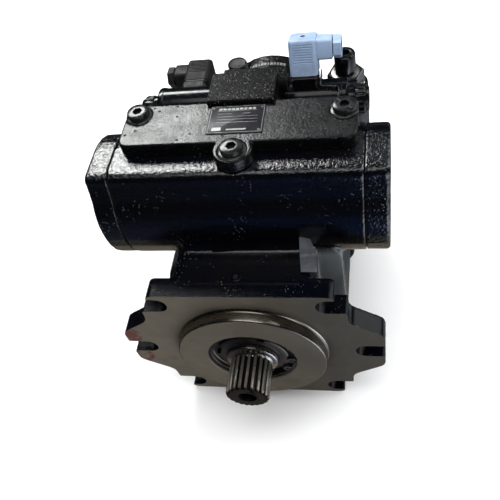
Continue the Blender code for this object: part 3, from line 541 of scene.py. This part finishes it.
def subtract(piece, cutter):
    """Takes a cutter out of a piece for good."""
    step = piece.modifiers.new("cut", "BOOLEAN")
    step.operation = "DIFFERENCE"
    step.solver = "EXACT"
    step.material_mode = "TRANSFER"
    step.object = cutter
    settle(piece)
    bpy.data.objects.remove(cutter)
    piece.data.set_sharp_from_angle(angle=math.radians(35))


def settle(piece):
    """Applies a piece's modifiers to its mesh."""
    bpy.context.view_layer.update()
    graph_now = bpy.context.evaluated_depsgraph_get()
    mesh = bpy.data.meshes.new_from_object(piece.evaluated_get(graph_now))
    old = piece.data
    piece.modifiers.clear()
    piece.data = mesh
    bpy.data.meshes.remove(old)


def trim(work, plane_at):
    """Cuts away all that lies in front of a plane across the shaft, and returns the new rim."""
    geometry = work.verts[:] + work.edges[:] + work.faces[:]
    cut = bmesh.ops.bisect_plane(work, geom=geometry, dist=1e-7, plane_co=plane_at, plane_no=(0, -1, 0),
                                 clear_outer=True)
    return [part for part in cut["geom_cut"] if isinstance(part, bmesh.types.BMEdge)]


def skin_of(name, node, voxel, shape):
    """A node's solid as one even skin, with the two corners of its box."""
    piece = bpy.data.objects.new(name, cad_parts[node].data.copy())
    bpy.context.scene.collection.objects.link(piece)
    work = bmesh.new()
    work.from_mesh(piece.data)
    bmesh.ops.remove_doubles(work, verts=work.verts, dist=1e-6)
    if shape:
        shape(work)
    work.to_mesh(piece.data)
    work.free()
    corners = np.array([vertex.co for vertex in piece.data.vertices])
    skin = piece.modifiers.new("skin", "REMESH")
    skin.mode = "VOXEL"
    skin.voxel_size = voxel * MM
    settle(piece)
    return piece, corners.min(axis=0), corners.max(axis=0)


def worn(mesh, hollow_rounds, edge_rounds):
    """A mesh's points with its inner corners filled and its edges rounded, and their normals."""
    count = len(mesh.vertices)
    points = np.empty(count * 3)
    mesh.vertices.foreach_get("co", points)
    points = points.reshape(-1, 3)
    ends = np.empty(len(mesh.edges) * 2, np.int64)
    mesh.edges.foreach_get("vertices", ends)
    ends = ends.reshape(-1, 2)
    degree = np.bincount(ends.ravel(), minlength=count)[:, None]
    normals = np.empty(count * 3)
    for turn in range(hollow_rounds):
        if turn % 8 == 0:
            mesh.vertices.foreach_set("co", points.ravel())
            mesh.update()
            mesh.vertex_normals.foreach_get("vector", normals)
        around = np.empty_like(points)
        for k in range(3):
            around[:, k] = np.bincount(ends[:, 0], points[ends[:, 1], k], count)
            around[:, k] += np.bincount(ends[:, 1], points[ends[:, 0], k], count)
        step = around / degree - points
        outward = (step * normals.reshape(-1, 3)).sum(axis=1) > 0
        keep = 0.5 * np.where(outward | (turn < edge_rounds), 1.0, 0.0)
        points += step * keep[:, None]
    mesh.vertices.foreach_set("co", points.ravel())
    mesh.update()
    mesh.vertex_normals.foreach_get("vector", normals)
    return points, normals.reshape(-1, 3)


def cast(name, node, finish, voxel, hollow_rounds, edge_rounds, grain, size, shape=None):
    """A CAD solid as a casting: its inner corners filled, its edges worn round, its skin pebbled."""
    piece, low, high = skin_of(name, node, voxel, shape)
    mesh = piece.data
    points, normals = worn(mesh, hollow_rounds, edge_rounds)
    lift = np.array([noise.fractal(Vector(p) / (size * MM), 0.7, 2.0, 3) for p in points]) - 0.6
    points += normals * (grain * MM * lift)[:, None]
    mesh.vertices.foreach_set("co", np.clip(points, low, high).ravel())
    mesh.update()
    mesh.shade_smooth()
    mesh.materials.clear()
    mesh.materials.append(finish)
    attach(piece, "pump_body")
    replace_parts(piece, node)
    return piece


# Castings


def fuller_top(work):
    """Carries the flat top of the stroking cylinder a little further forward."""
    for vertex in work.verts:
        rise = (vertex.co.z - SHAFT_Z) / MM
        back = (vertex.co.y - FACE_Y) / MM
        if rise > 165 and 60 < back < 90:
            vertex.co.y -= 7.0 * MM * (rise - 165) / 14


def slab_in_front(work):
    """Moves the mounting face and the pilot forward, to be cut back square after the skin is worn."""
    fuller_top(work)
    for vertex in work.verts:
        if vertex.co.y < FACE_Y + 0.5 * MM:
            vertex.co.y = FACE_Y - 7 * MM


def housing():
    piece = cast("housing_casting", "housing", HOUSING_PAINT, 1.5, 10, 3, 0.06, 4.0, slab_in_front)
    work = bmesh.new()
    work.from_mesh(piece.data)
    rim = trim(work, (0, FACE_Y, 0))
    filled = bmesh.ops.triangle_fill(work, use_beauty=True, edges=rim)
    for face in filled["geom"]:
        if isinstance(face, bmesh.types.BMFace):
            face.material_index = 1
            face.smooth = False
    for edge in rim:
        edge.smooth = False
    bmesh.ops.recalc_face_normals(work, faces=work.faces)
    work.to_mesh(piece.data)
    work.free()
    piece.data.materials.append(IRON)


def pilot():
    """The raised ring that centres the pump, with a turned relief at its foot."""
    profile = [(SEAL_BORE_R, 0.4), (SEAL_BORE_R, 0.9 - PILOT_HEIGHT), (SEAL_BORE_R + 0.9, -PILOT_HEIGHT),
               (PILOT_R - 1.3, -PILOT_HEIGHT), (PILOT_R - 0.4, 0.5 - PILOT_HEIGHT),
               (PILOT_R, 1.6 - PILOT_HEIGHT)]
    profile += [(PILOT_R, -4.0)] + arc((PILOT_R + 2.6, -3.2), 3.4, 200, 120, 5) + [(PILOT_R + 2.2, 0.4)]
    ring = turned("pilot_ring", profile, "Y", (0, 0), IRON, 192)
    ring.data.materials.append(PILOT_STEEL)
    for face in ring.data.polygons:
        spot = face.center - at(0, 0, 0)
        if math.hypot(spot.x, spot.z) > (PILOT_R - 2) * MM and abs(face.normal.y) < 0.9:
            face.material_index = 1


def neck_web():
    """The web that rises from the neck up the front of the stroking cylinder, with a crisp right edge."""
    layers = []
    for x, proud in ((-30.0, -1.0), (30.0, 0.0), (54.6, 0.15), (55.4, -0.5)):
        outline = [(30.0, 84.0), (40.0 - proud, 94.0)] + arc((42.6, 109.0), 14.0 + proud, -78, 0, 8)
        outline += [(56.6 + proud, 124.0), (60.5, 135.0 + proud), (70.0, 135.0), (70.0, 84.0)]
        layers.append((outline, x))
    stack("neck_web", layers, "X", WEB_PAINT, sharp=50)


def gusset():
    """The flared face that falls from the web's right edge to the top of the neck, its paint tinted light as
    a painted reflection.
    """
    left = [(55.2, 57.2, 127.0), (55.2, 57.0, 113.0), (55.6, 43.0, 101.5), (58.0, 26.0, 100.2)]
    right = [(56.6, 59.5, 127.0), (65.0, 57.5, 109.0), (71.0, 46.0, 99.6), (72.5, 27.0, 98.4)]
    rows, columns = 18, 10
    points = []
    for depth in (0.0, 9.0):
        for i in range(rows + 1):
            stretch = min(i * 3 / rows, 2.999)
            k, share = int(stretch), stretch % 1
            start = Vector(left[k]).lerp(Vector(left[k + 1]), share)
            end = Vector(right[k]).lerp(Vector(right[k + 1]), share)
            for across in range(columns + 1):
                spot = start.lerp(end, across / columns)
                points.append((spot.x, spot.y + depth * 0.4, spot.z - depth))
    wide = columns + 1
    layer = wide * (rows + 1)
    faces = []
    for i in range(rows):
        for k in range(columns):
            a = i * wide + k
            faces.append((a, a + 1, a + 1 + wide, a + wide))
            faces.append((a + layer, a + wide + layer, a + 1 + wide + layer, a + 1 + layer))
    rim = [k for k in range(wide)] + [i * wide + columns for i in range(1, rows + 1)]
    rim += [rows * wide + k for k in range(columns - 1, -1, -1)] + [i * wide for i in range(rows - 1, 0, -1)]
    for a, b in zip(rim, rim[1:] + rim[:1]):
        faces.append((a, a + layer, b + layer, b))
    make("gusset", points, faces, GUSSET_PAINTED_REFLECTION, sharp=50)


def cast_marks():
    """Plain raised pads in a row on the rear casting's round back."""
    for k in range(12):
        turn = math.radians(112.0 - 3.6 * k)
        across = Vector((-math.sin(turn), 0, math.cos(turn)))
        out = Vector((math.cos(turn), 0, math.sin(turn)))
        middle = Vector((DOME[0], 329.0, DOME[1])) + out * DOME_R
        size = 1.0 + 0.8 * ((k * 5) % 3) / 2
        points = []
        for lift, shrink in ((-1.0, 1.0), (0.35, 1.0), (0.7, 0.7)):
            for u, v in ((-1, -1), (1, -1), (1, 1), (-1, 1)):
                spot = middle + across * u * size * shrink + Vector((0, v * 2.2 * shrink, 0))
                points.append(spot + out * lift)
        faces = [(0, 1, 2, 3), (8, 11, 10, 9)]
        for row in (0, 4):
            faces += [(row + i, row + (i + 1) % 4, row + 4 + (i + 1) % 4, row + 4 + i) for i in range(4)]
        soften(make(f"cast_pad_{k}", [tuple(p) for p in points], faces, MARK_PAINT, sharp=50), 0.25, 2)


def castings():
    housing()
    pilot()
    neck_web()
    gusset()
    for side in ("left", "right"):
        cast(f"{side}_cover_casting", f"cylinder_cover_{side}", COVER_PAINT, 1.1, 5, 2, 0.14, 4.2, fuller_top)
    cast("control_plate_casting", "control_plate", PLATE_PAINT, 0.8, 10, 3, 0.03, 2.6)
    cast("valve_block_casting", "valve_block", BLOCK_PAINT, 0.7, 8, 2, 0.06, 1.8)
    cast("port_plate_casting", "port_plate", REAR_PAINT, 1.5, 40, 3, 0.16, 5.0)
    cast("boost_pump_casting", "boost_pump_housing", REAR_PAINT, 1.4, 30, 3, 0.16, 5.0)


# Screws, plugs and glands


def socket_screw(name, centre, axis, seat, head_r, height, socket, finish, stands_for=None, steps=72):
    """The head of a socket screw, standing on a face at a distance along an axis."""
    sign = 1 if height > 0 else -1
    top = seat + height
    profile = [(0, seat), (head_r - 0.3, seat), (head_r, seat + 0.4 * sign), (head_r, top - 1.3 * sign),
               (head_r - 0.5, top - 0.4 * sign), (head_r - 1.4, top), (socket / 2 + 1.3, top),
               (socket / 2 + 0.6, top), (0, top)]
    piece = turned(name, profile, axis, centre, finish, steps)
    hole = regular(6, socket, centre, 12)
    wide = regular(6, socket + 1.4, centre, 12)
    ends = [(hole, top - 0.62 * height), (hole, top - 0.6 * sign), (wide, top + 0.2 * sign)]
    # The cutter's near-black material passes to the socket's faces as painted shade.
    cutter = stack(name + "_socket", sorted(ends, key=lambda layer: layer[1]), axis, SOCKET_PAINTED_SHADE)
    subtract(piece, cutter)
    if stands_for:
        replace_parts(piece, stands_for)
    return piece


def plate_screws():
    seat = PLATE_TOP - 0.9
    for tag, spot in SCREWS.items():
        washer = [(7.0, seat), (12.6, seat), (12.6, seat + 0.5), (12.0, seat + 0.9), (7.0, seat + 0.9)]
        turned(f"plate_screw_{tag}_washer", washer, "Z", spot, BLACKED, 72)
        head = socket_screw(f"plate_screw_{tag}_head", spot, "Z", seat + 0.9, 10.4, 5.6, 7.6, BLACKED,
                            f"plate_screw_{tag}")


def cover_screws():
    """Six socket screws sunk into each cylinder cover."""
    for side in (-1, 1):
        for turn in (45, 90, 135, 225, 270, 315):
            spot = arc(SERVO, 46.0, turn, turn, 1)[0]
            tag = "left" if side < 0 else "right"
            socket_screw(f"cover_screw_{tag}_{turn}", spot, "X", side * 127.2, 6.3, side * 6.5, 5.0, BLACKED,
                         steps=40)


def plugs():
    """The round plug of the tower and the small plug on the neck."""
    profile = [(0, 128.0), (9.0, 128.0), (9.0, 133.3), (10.2, 133.3), (10.6, 133.8), (10.6, 149.6),
               (10.2, 150.8), (9.5, 151.3), (8.8, 151.0), (8.4, 150.2), (0, 149.9)]
    piece = turned("tower_plug_head", profile, "Z", TOWER, PLUG_STEEL, 96)
    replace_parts(piece, "tower_plug")
    piece = socket_screw("neck_plug_head", NECK_PLUG, "Z", 98.3, 5.2, 1.5, 3.4, HOUSING_PAINT, "neck_plug",
                         48)


def relief_valve():
    """Cartridge with a chamfered hexagon on the turret, and the adjuster cap above it."""
    profile = [(0, 126.0), (14.6, 126.0), (14.6, 128.3), (19.4, 128.3), (20.0, 128.9), (20.0, 129.9),
               (19.4, 130.5), (17.6, 130.5), (17.0, 130.0), (16.4, 130.5), (0, 130.5)]
    piece = turned("cartridge_flange", profile, "Z", TURRET, RING_STEEL, 96)
    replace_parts(piece, "relief_cartridge")
    wide, small = regular(6, 34.0, TURRET, 10), regular(6, 31.4, TURRET, 10)
    hexagon = stack("cartridge_hexagon", [(wide, 130.2), (wide, 140.9), (small, 142.3)], "Z", CAP_BLACK)
    soften(hexagon, 0.35, 2)
    washer = [(9.0, 142.0), (14.8, 142.0), (14.8, 142.3), (14.4, 142.5), (9.0, 142.5)]
    turned("cartridge_washer", washer, "Z", TURRET, RING_STEEL, 72)
    profile = [(0, 142.8), (10.6, 142.8), (11.0, 143.2), (11.0, 162.6), (10.4, 164.2), (9.2, 165.0),
               (7.8, 165.0), (7.2, 164.2), (6.2, 164.0), (5.8, 164.9), (4.9, 164.9), (4.5, 160.5), (0, 160.0)]
    piece = turned("adjuster_cap", profile, "Z", TURRET, CAP_BLACK, 96)
    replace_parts(piece, "relief_cap")


def coil(tag, side, inner):
    """Solenoid coil with a rolled shoulder at each end, its nut with a fluted grip, and the override pin."""
    shoulder = [(0, inner), (20.4, inner), (21.6, inner + 0.5), (COIL_R, inner + 1.6), (COIL_R, inner + 4.0),
                (21.4, inner + 4.6), (21.4, 91.2), (COIL_R, 91.8), (COIL_R, 95.4), (21.5, 96.6), (20.2, 97.0),
                (0, 97.0)]
    piece = turned(f"coil_{tag}", [(r, side * x) for r, x in shoulder], "X", SPOOL, COIL_BLACK, 96)
    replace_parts(piece, f"solenoid_{tag}")
    grip = [(3.2, 97.3), (14.0, 97.3), (14.4, 97.8), (14.4, 102.4), (13.4, 103.2), (13.4, 113.6),
            (12.4, 114.4), (11.8, 116.9), (11.2, 117.5), (5.4, 117.5), (4.6, 116.6), (3.2, 116.3)]
    piece = turned(f"coil_nut_{tag}", [(r, side * x) for r, x in grip], "X", SPOOL, COIL_BLACK, 96)
    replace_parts(piece, f"solenoid_nut_{tag}")
    outlines = []
    for reach in (14.2, 15.0):
        outline = []
        for i in range(108):
            dent = 0.35 * (1 + math.cos(math.pi * i / 3)) if reach > 14.5 else 0.35
            outline.append(polar(SPOOL, reach - dent, 2 * math.pi * i / 108))
        outlines.append(outline)
    narrow, wide = outlines
    layers = [(narrow, side * 103.8), (wide, side * 104.8), (wide, side * 112.6), (narrow, side * 113.6)]
    ring = stack(f"coil_nut_grip_{tag}", layers, "X", COIL_BLACK)
    bore = [(0, side * 90), (3.6, side * 90), (3.6, side * 130), (0, side * 130)]
    subtract(ring, turned("grip_bore", bore, "X", SPOOL, COIL_BLACK, 32))
    tip = [(0, 101.0), (2.9, 101.0), (2.9, 115.9), (2.6, 116.7), (1.9, 117.0), (0, 117.0)]
    piece = turned(f"override_{tag}", [(r, side * x) for r, x in tip], "X", SPOOL, INNER_STEEL, 48,
                   body=f"pin_{tag}")
    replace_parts(piece, f"override_pin_{tag}")


def plug_outline(half, corner, dent=0.0):
    """A plug's outline across its height: the front face may be dented between its corners."""
    outline = arc((half - corner, 27 - corner), corner, 90, 0, 3)
    outline += arc((half - corner, corner), corner, 0, -90, 3)
    reach = half - corner - 0.4
    outline += [(reach, 0.0), (reach - 0.5, dent), (0.5 - reach, dent), (-reach, 0.0)]
    outline += arc((corner - half, corner), corner, -90, -180, 3)
    outline += arc((corner - half, 27 - corner), corner, 180, 90, 3)
    return outline


def inset(outline, by, centre):
    """An outline drawn in towards its centre by a distance along each axis."""
    found = []
    for u, v in outline:
        du, dv = u - centre[0], v - centre[1]
        found.append((u - math.copysign(min(by, abs(du)), du), v - math.copysign(min(by, abs(dv)), dv)))
    return found


def connector(tag, side, x, turn, pivot, finish, rib):
    """A cable plug on its coil: ribbed hood, gasket, seat, gland stub and nut."""
    sine, cosine = math.sin(turn), math.cos(turn)

    def sideways(depth, height, across):
        return (across, pivot[0] + height * sine + depth * cosine, pivot[1] + height * cosine - depth * sine)

    def upright(u, depth, height):
        return sideways(depth, height, x + u)

    plain = plug_outline(13.5, 3.6)
    groove = plug_outline(13.5, 3.6, rib)
    middle = (0, 13.5)
    layers = [(inset(plain, 0.9, middle), 0.0), (plain, 0.9)]
    for k in range(8):
        low = 13.2 + 2.35 * k
        layers += [(plain, low), (groove, low + 0.25), (groove, low + 0.8), (plain, low + 1.1)]
    layers += [(plain, 33.0), (inset(plain, 0.5, middle), 34.0), (inset(plain, 1.5, middle), 34.7),
               (inset(plain, 2.6, middle), 34.8)]
    hood = stack(f"plug_hood_{tag}", layers, upright, finish, sharp=30)
    hole = turned("hood_screw_hole", [(0, 32.0), (2.4, 32.0), (2.4, 36.0), (0, 36.0)], upright, middle,
                  RUBBER, 32)
    subtract(hood, hole)
    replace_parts(hood, f"connector_{tag}")
    screw = [(0, 31.0), (2.2, 31.0), (2.2, 32.9), (1.8, 33.2), (0, 33.2)]
    turned(f"hood_screw_{tag}", screw, upright, middle, DARK_STEEL, 32)
    gasket = plug_outline(12.6, 3.0)
    turned_in = [(gasket, -1.9), (inset(gasket, -0.5, middle), -1.4), (inset(gasket, -0.5, middle), 0.1)]
    stack(f"plug_gasket_{tag}", turned_in, upright, RUBBER)
    seat = plug_outline(12.8, 2.6)
    foot = inset(seat, 1.4, middle)
    stack(f"plug_seat_{tag}", [(foot, -16.0), (inset(seat, 0.6, middle), -15.0), (seat, -13.0), (seat, -2.6),
                               (inset(seat, 0.8, middle), -1.8)], upright, SEAT_BLACK)
    gland = (13.5, 23.5)
    stub = rounded(3.5, 23.5, 13.5, 33.5, 3.2, 4)
    step = inset(stub, 0.7, gland)
    layers = [(stub, x + side * 10), (stub, x + side * 27.2), (step, x + side * 28.0)]
    stack(f"gland_stub_{tag}", layers, sideways, finish)
    neck = [(0, x + side * 27), (8.2, x + side * 27), (8.2, x + side * 29), (0, x + side * 29)]
    turned(f"gland_neck_{tag}", neck, sideways, gland, RUBBER, 48)
    wide, small = regular(6, 19.5, gland, 30), regular(6, 18.3, gland, 30)
    layers = [(small, x + side * 28.6), (wide, x + side * 29.3), (wide, x + side * 35.7),
              (small, x + side * 36.5)]
    nut = stack(f"gland_ring_{tag}", layers, sideways, finish)
    bore = [(0, x + side * 31), (4.8, x + side * 31), (5.6, x + side * 38), (0, x + side * 38)]
    subtract(nut, turned("gland_bore", bore, sideways, gland, RUBBER, 40))
    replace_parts(soften(nut, 0.3, 2), f"gland_nut_{tag}")


def coil_clip():
    """A bent strip of sheet steel on edge, lying over the right coil."""
    path = [(71.0, 222.0), (71.0, 201.5)] + arc((74.0, 200.0), 3.0, 180, 255, 5)
    path += arc((85.8, 192.2), 3.4, 75, 0, 5) + [(89.4, 180.0)]
    lines = []
    for shift in (0.6, -0.6):
        line = []
        for i, point in enumerate(path):
            before, after = path[max(i - 1, 0)], path[min(i + 1, len(path) - 1)]
            heading = Vector((after[0] - before[0], after[1] - before[1])).normalized()
            line.append((point[0] - heading.y * shift, point[1] + heading.x * shift))
        lines.append(line)
    outline = lines[0] + lines[1][::-1]
    soften(stack("coil_clip", [(outline, 163.0), (outline, 170.6)], "Z", RING_STEEL), 0.3, 2)


# Shaft and seal


def spline_outline(root, tip, teeth=21):
    """A spline's section: rounded roots, sloping flanks and a land on each tooth."""
    shape = ((-0.5, 0.0), (-0.38, 0.02), (-0.31, 0.25), (-0.20, 0.88), (-0.15, 1.0), (0.15, 1.0),
             (0.20, 0.88), (0.31, 0.25), (0.38, 0.02))
    outline = []
    for tooth in range(teeth):
        for turn, lift in shape:
            angle = 2 * math.pi * (tooth + turn) / teeth
            outline.append(polar((0, 0), root + lift * (tip - root), angle))
    return outline


def shaft():
    """Splined end with a centre hole, the flared collar before the seal, and the rest of the shaft."""
    ends = ((-54.5, 18.2, 19.4), (-54.0, 18.6, 20.4), (-52.8, 18.6, 21.8), (-19.5, 18.6, 21.8),
            (-17.2, 18.6, 20.6), (-15.6, 18.6, 18.8))
    layers = [(spline_outline(root, tip), y) for y, root, tip in ends]
    piece = stack("shaft_spline", layers, "Y", SPLINE_STEEL, body="rotor", sharp=25.0)
    hole = [(0, -44.0), (6.2, -44.0), (6.5, -50.0), (9.4, -54.3), (9.8, -56.0), (0, -56.0)]
    subtract(piece, turned("centre_hole", hole, "Y", (0, 0), SPLINE_STEEL, 96))
    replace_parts(piece, "drive_shaft")
    profile = [(0, -40.0), (18.4, -40.0), (18.6, -18.4), (19.4, -16.6), (20.8, -15.4), (22.6, -14.7),
               (25.4, -14.4), (26.2, -13.8), (26.4, -12.9), (26.4, -10.4), (25.9, -9.8), (20.9, -9.6),
               (20.9, 0.6), (0, 0.6)]
    turned("shaft_collar", profile, "Y", (0, 0), RING_STEEL, 144, body="rotor")
    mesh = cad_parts["drive_shaft"].data.copy()
    work = bmesh.new()
    work.from_mesh(mesh)
    bmesh.ops.remove_doubles(work, verts=work.verts, dist=1e-6)
    bmesh.ops.holes_fill(work, edges=trim(work, at(0, 0.4, 0)))
    work.to_mesh(mesh)
    work.free()
    rest = bpy.data.objects.new("shaft_inner_end", mesh)
    bpy.context.scene.collection.objects.link(rest)
    mesh.materials.clear()
    mesh.materials.append(INNER_STEEL)
    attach(rest, "rotor")


def seal_group():
    """Carrier with curved pockets, the lip seal in it, and the snap ring with its two eyes."""
    profile = [(27.6, -9.0), (36.6, -9.0), (37.2, -8.6), (37.6, -4.9), (38.2, -4.4), (41.8, -4.4),
               (42.4, -4.9), (42.8, -8.6), (43.2, -9.0), (44.4, -9.0), (44.9, -8.5), (44.9, 0.6), (33.0, 0.6),
               (33.0, -1.2), (27.6, -1.2)]
    carrier = turned("carrier_ring", profile, "Y", (0, 0), CARRIER_IRON, 160)
    for start, end in ((150, 172), (182, 232), (300, 322), (62, 74)):
        outline = arc((0, 0), 38.5, start, end, 14) + arc((0, 0), 33.0, end, start, 14)
        subtract(carrier, stack("pocket", [(outline, -10.0), (outline, -5.2)], "Y", CARRIER_IRON))
    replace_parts(carrier, "seal_carrier")
    lip = [(27.2, -2.0), (27.2, -8.8), (24.2, -8.8), (23.4, -7.8), (21.4, -7.2), (21.2, -6.4), (22.6, -4.6)]
    seal = turned("lip_seal", lip + [(22.4, -2.0)], "Y", (0, 0), RUBBER, 128)
    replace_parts(seal, "shaft_seal")
    outer = arc((0, 0), 46.6, -4, -324, 90)
    inner = arc((-0.5, 0.2), 42.6, -324, -4, 90)
    ring = stack("snap_ring", [(outer + inner, -11.0), (outer + inner, -9.6)], "Y", BLACKED)
    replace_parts(soften(ring, 0.2, 2), "retaining_ring")
    for k, turn in enumerate((-6.0, -33.0)):
        eye = arc((0, 0), 39.6, turn, turn, 1)[0]
        profile = [(1.5, -11.0), (4.2, -11.0), (4.4, -10.8), (4.4, -9.8), (4.2, -9.6), (1.5, -9.6)]
        turned(f"snap_ring_eye_{k}", profile, "Y", eye, DARK_STEEL, 40)


# Name plate


def name_plate():
    """Foil with a raised border, rivets, a plain code strip and faint rules. It carries no lettering."""
    outline = rounded(-24.5, 27.5, 110.5, 147.5, 1.6, 4)
    layers = [(outline, 192.1), (outline, 192.55), (inset(outline, 0.25, (1.5, 129)), 192.75)]
    foil = stack("foil", layers, "Z", FOIL)
    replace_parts(foil, "name_plate")
    border = rounded(-23.3, 26.3, 111.7, 146.3, 1.2, 4)
    hollow = rounded(-22.9, 25.9, 112.1, 145.9, 0.9, 4)
    edge = stack("foil_border", [(border, 192.5), (border, 192.86)], "Z", PRINT)
    subtract(edge, stack("border_gap", [(hollow, 192.0), (hollow, 193.5)], "Z", PRINT))
    marks = [(-16.0 + 3.9 * k, -13.1 + 3.9 * k, 141.2, 143.6) for k in range(9)]
    marks += [(-16.6, 20.0, 140.0, 140.3), (-16.6, -4.0, 136.2, 136.5), (6.0, 14.0, 136.0, 136.4),
              (-16.6, 21.0, 132.4, 132.7), (-16.6, 21.0, 128.6, 128.9), (-16.6, 21.0, 124.8, 125.1),
              (-6.0, 12.0, 114.6, 116.4), (-19.5, -11.0, 114.4, 118.6)]
    for k, (left, right, low, high) in enumerate(marks):
        shape = rounded(left, right, low, high, min(0.12, (high - low) / 3), 2)
        stack(f"foil_mark_{k}", [(shape, 192.5), (shape, 192.82)], "Z", PRINT)
    for k, (x, y) in enumerate(((23.9, 143.9), (23.9, 114.1), (-20.9, 143.9))):
        dome = [(0, 192.4), (1.3, 192.4), (1.3, 192.9), (0.9, 193.2), (0, 193.3)]
        turned(f"foil_rivet_{k}", dome, "Z", (x, y), DARK_STEEL, 32)


# Stage


def stage():
    bpy.ops.mesh.primitive_plane_add(size=12.0, location=(0, 0, CAD_BOX[0].z))
    floor = bpy.context.active_object
    floor.name = "floor"
    floor.data.materials.append(pale_floor())
    floor.visible_glossy = False


def lamp(name, turn, height, distance, size, glow, colour=(1, 1, 1), mirrored=True):
    """A softbox facing the pump: its bearing right of straight behind and its height, in degrees."""
    turn, height = math.radians(turn), math.radians(height)
    way = Vector((math.sin(turn) * math.cos(height), math.cos(turn) * math.cos(height), math.sin(height)))
    data = bpy.data.lights.new(name, "AREA")
    data.shape = "RECTANGLE"
    data.size, data.size_y = size
    data.energy = glow * math.pi * size[0] * size[1]
    data.color = colour
    item = bpy.data.objects.new(name, data)
    bpy.context.scene.collection.objects.link(item)
    item.location = at(0, 120, 100) + way * distance
    item.rotation_euler = way.to_track_quat("Z", "Y").to_euler()
    item.visible_glossy = mirrored


def lights():
    lamp("rear_left_window", -33.0, 40.5, 3.0, (1.15, 0.72), 20.0, (0.98, 1.0, 0.98))
    lamp("right_window", 60.0, 30.0, 2.5, (1.0, 2.4), 3.2, (0.96, 0.98, 1.0))
    lamp("overhead", 180.0, 84.0, 2.0, (1.4, 0.7), 2.2)
    lamp("front_fill", 139.0, 6.0, 2.0, (0.9, 0.7), 1.8, (0.92, 0.97, 1.0))
    lamp("wash", 0.0, 90.0, 3.5, (5.6, 5.6), 2.9, mirrored=False)


def surroundings():
    """The room that the pump mirrors: a pale band high behind it, and darker tones low around it."""
    world = bpy.data.worlds.new("studio")
    bpy.context.scene.world = world
    world.use_nodes = True
    tree = world.node_tree
    background = tree.nodes["Background"]
    background.inputs["Strength"].default_value = 1.0
    split = new(tree, "SeparateXYZ")
    tree.links.new(new(tree, "TexCoord").outputs["Generated"], split.inputs[0])
    x, y, z = (split.outputs[axis] for axis in "XYZ")
    low = blend(tree, ramp(tree, x, -0.2, -0.6), (0.020, 0.045, 0.135), (0.060, 0.050, 0.034))
    low = blend(tree, ramp(tree, y, 0.1, 0.45), low, (0.075, 0.085, 0.095))
    low = blend(tree, ramp(tree, x, 0.35, 0.65), low, (0.80, 0.88, 0.96))
    under = times(tree, ramp(tree, z, -0.80, -0.90), ramp(tree, y, -0.54, -0.34))
    low = blend(tree, under, low, (0.32, 0.28, 0.21))
    corner = times(tree, ramp(tree, x, 0.22, 0.34), ramp(tree, y, -0.42, -0.60))
    low = blend(tree, times(tree, corner, ramp(tree, z, -0.22, -0.36)), low, (2.6, 2.8, 3.1))
    low = blend(tree, ramp(tree, z, -0.15, -0.5), (0.008, 0.009, 0.012), low)
    band = times(tree, ramp(tree, z, 0.57, 0.65), ramp(tree, z, 0.76, 0.68))
    band = times(tree, band, ramp(tree, y, 0.5, 0.72))
    tree.links.new(blend(tree, band, low, (0.95, 0.97, 1.0)), background.inputs["Color"])


def camera():
    """The viewpoint, 0.57 m above the shaft in front of the flange, turned a little to the left."""
    yaw, pitch, roll = -0.3315, 0.938, -0.270
    data = bpy.data.cameras.new("camera")
    item = bpy.data.objects.new("camera", data)
    bpy.context.scene.collection.objects.link(item)
    forward = Vector((math.sin(yaw) * math.cos(pitch), math.cos(yaw) * math.cos(pitch), -math.sin(pitch)))
    right = Vector((math.cos(yaw), -math.sin(yaw), 0))
    up = right.cross(forward)
    tilted = math.cos(roll) * right + math.sin(roll) * up
    upright = math.cos(roll) * up - math.sin(roll) * right
    turn = Matrix((tilted, upright, -forward)).transposed().to_4x4()
    item.matrix_world = Matrix.Translation(at(134.0, -297.9, 558.3)) @ turn
    data.sensor_width = 36.0
    data.lens = 44.8
    data.shift_x = -0.0284
    data.shift_y = 0.055
    data.clip_start = 0.01
    bpy.context.scene.camera = item


castings()
cast_marks()
plate_screws()
cover_screws()
plugs()
relief_valve()
coil("right", 1, 34.3)
coil("left", -1, 29.3)
connector("right", 1, 56.0, math.radians(18.0), (201.0, 178.0), BLUE_PLASTIC, 0.6)
connector("left", -1, -65.0, math.radians(90.0), (235.0, 158.0), BLACK_PLASTIC, 1.3)
coil_clip()
shaft()
seal_group()
name_plate()
stage()
lights()
surroundings()
camera()
bpy.context.scene.view_settings.view_transform = "Standard"

INSIDE = {"slipper": BRONZE, "cradle_bearing": BRONZE, "valve_plate": BRONZE, "cylinder_block": DARK_STEEL,
          "swash_plate": DARK_STEEL, "boost": RING_STEEL}
for node_name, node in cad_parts.items():
    found = [finish for start, finish in INSIDE.items() if node_name.startswith(start)]
    node.data.materials.clear()
    node.data.materials.append(found[0] if found else INNER_STEEL)
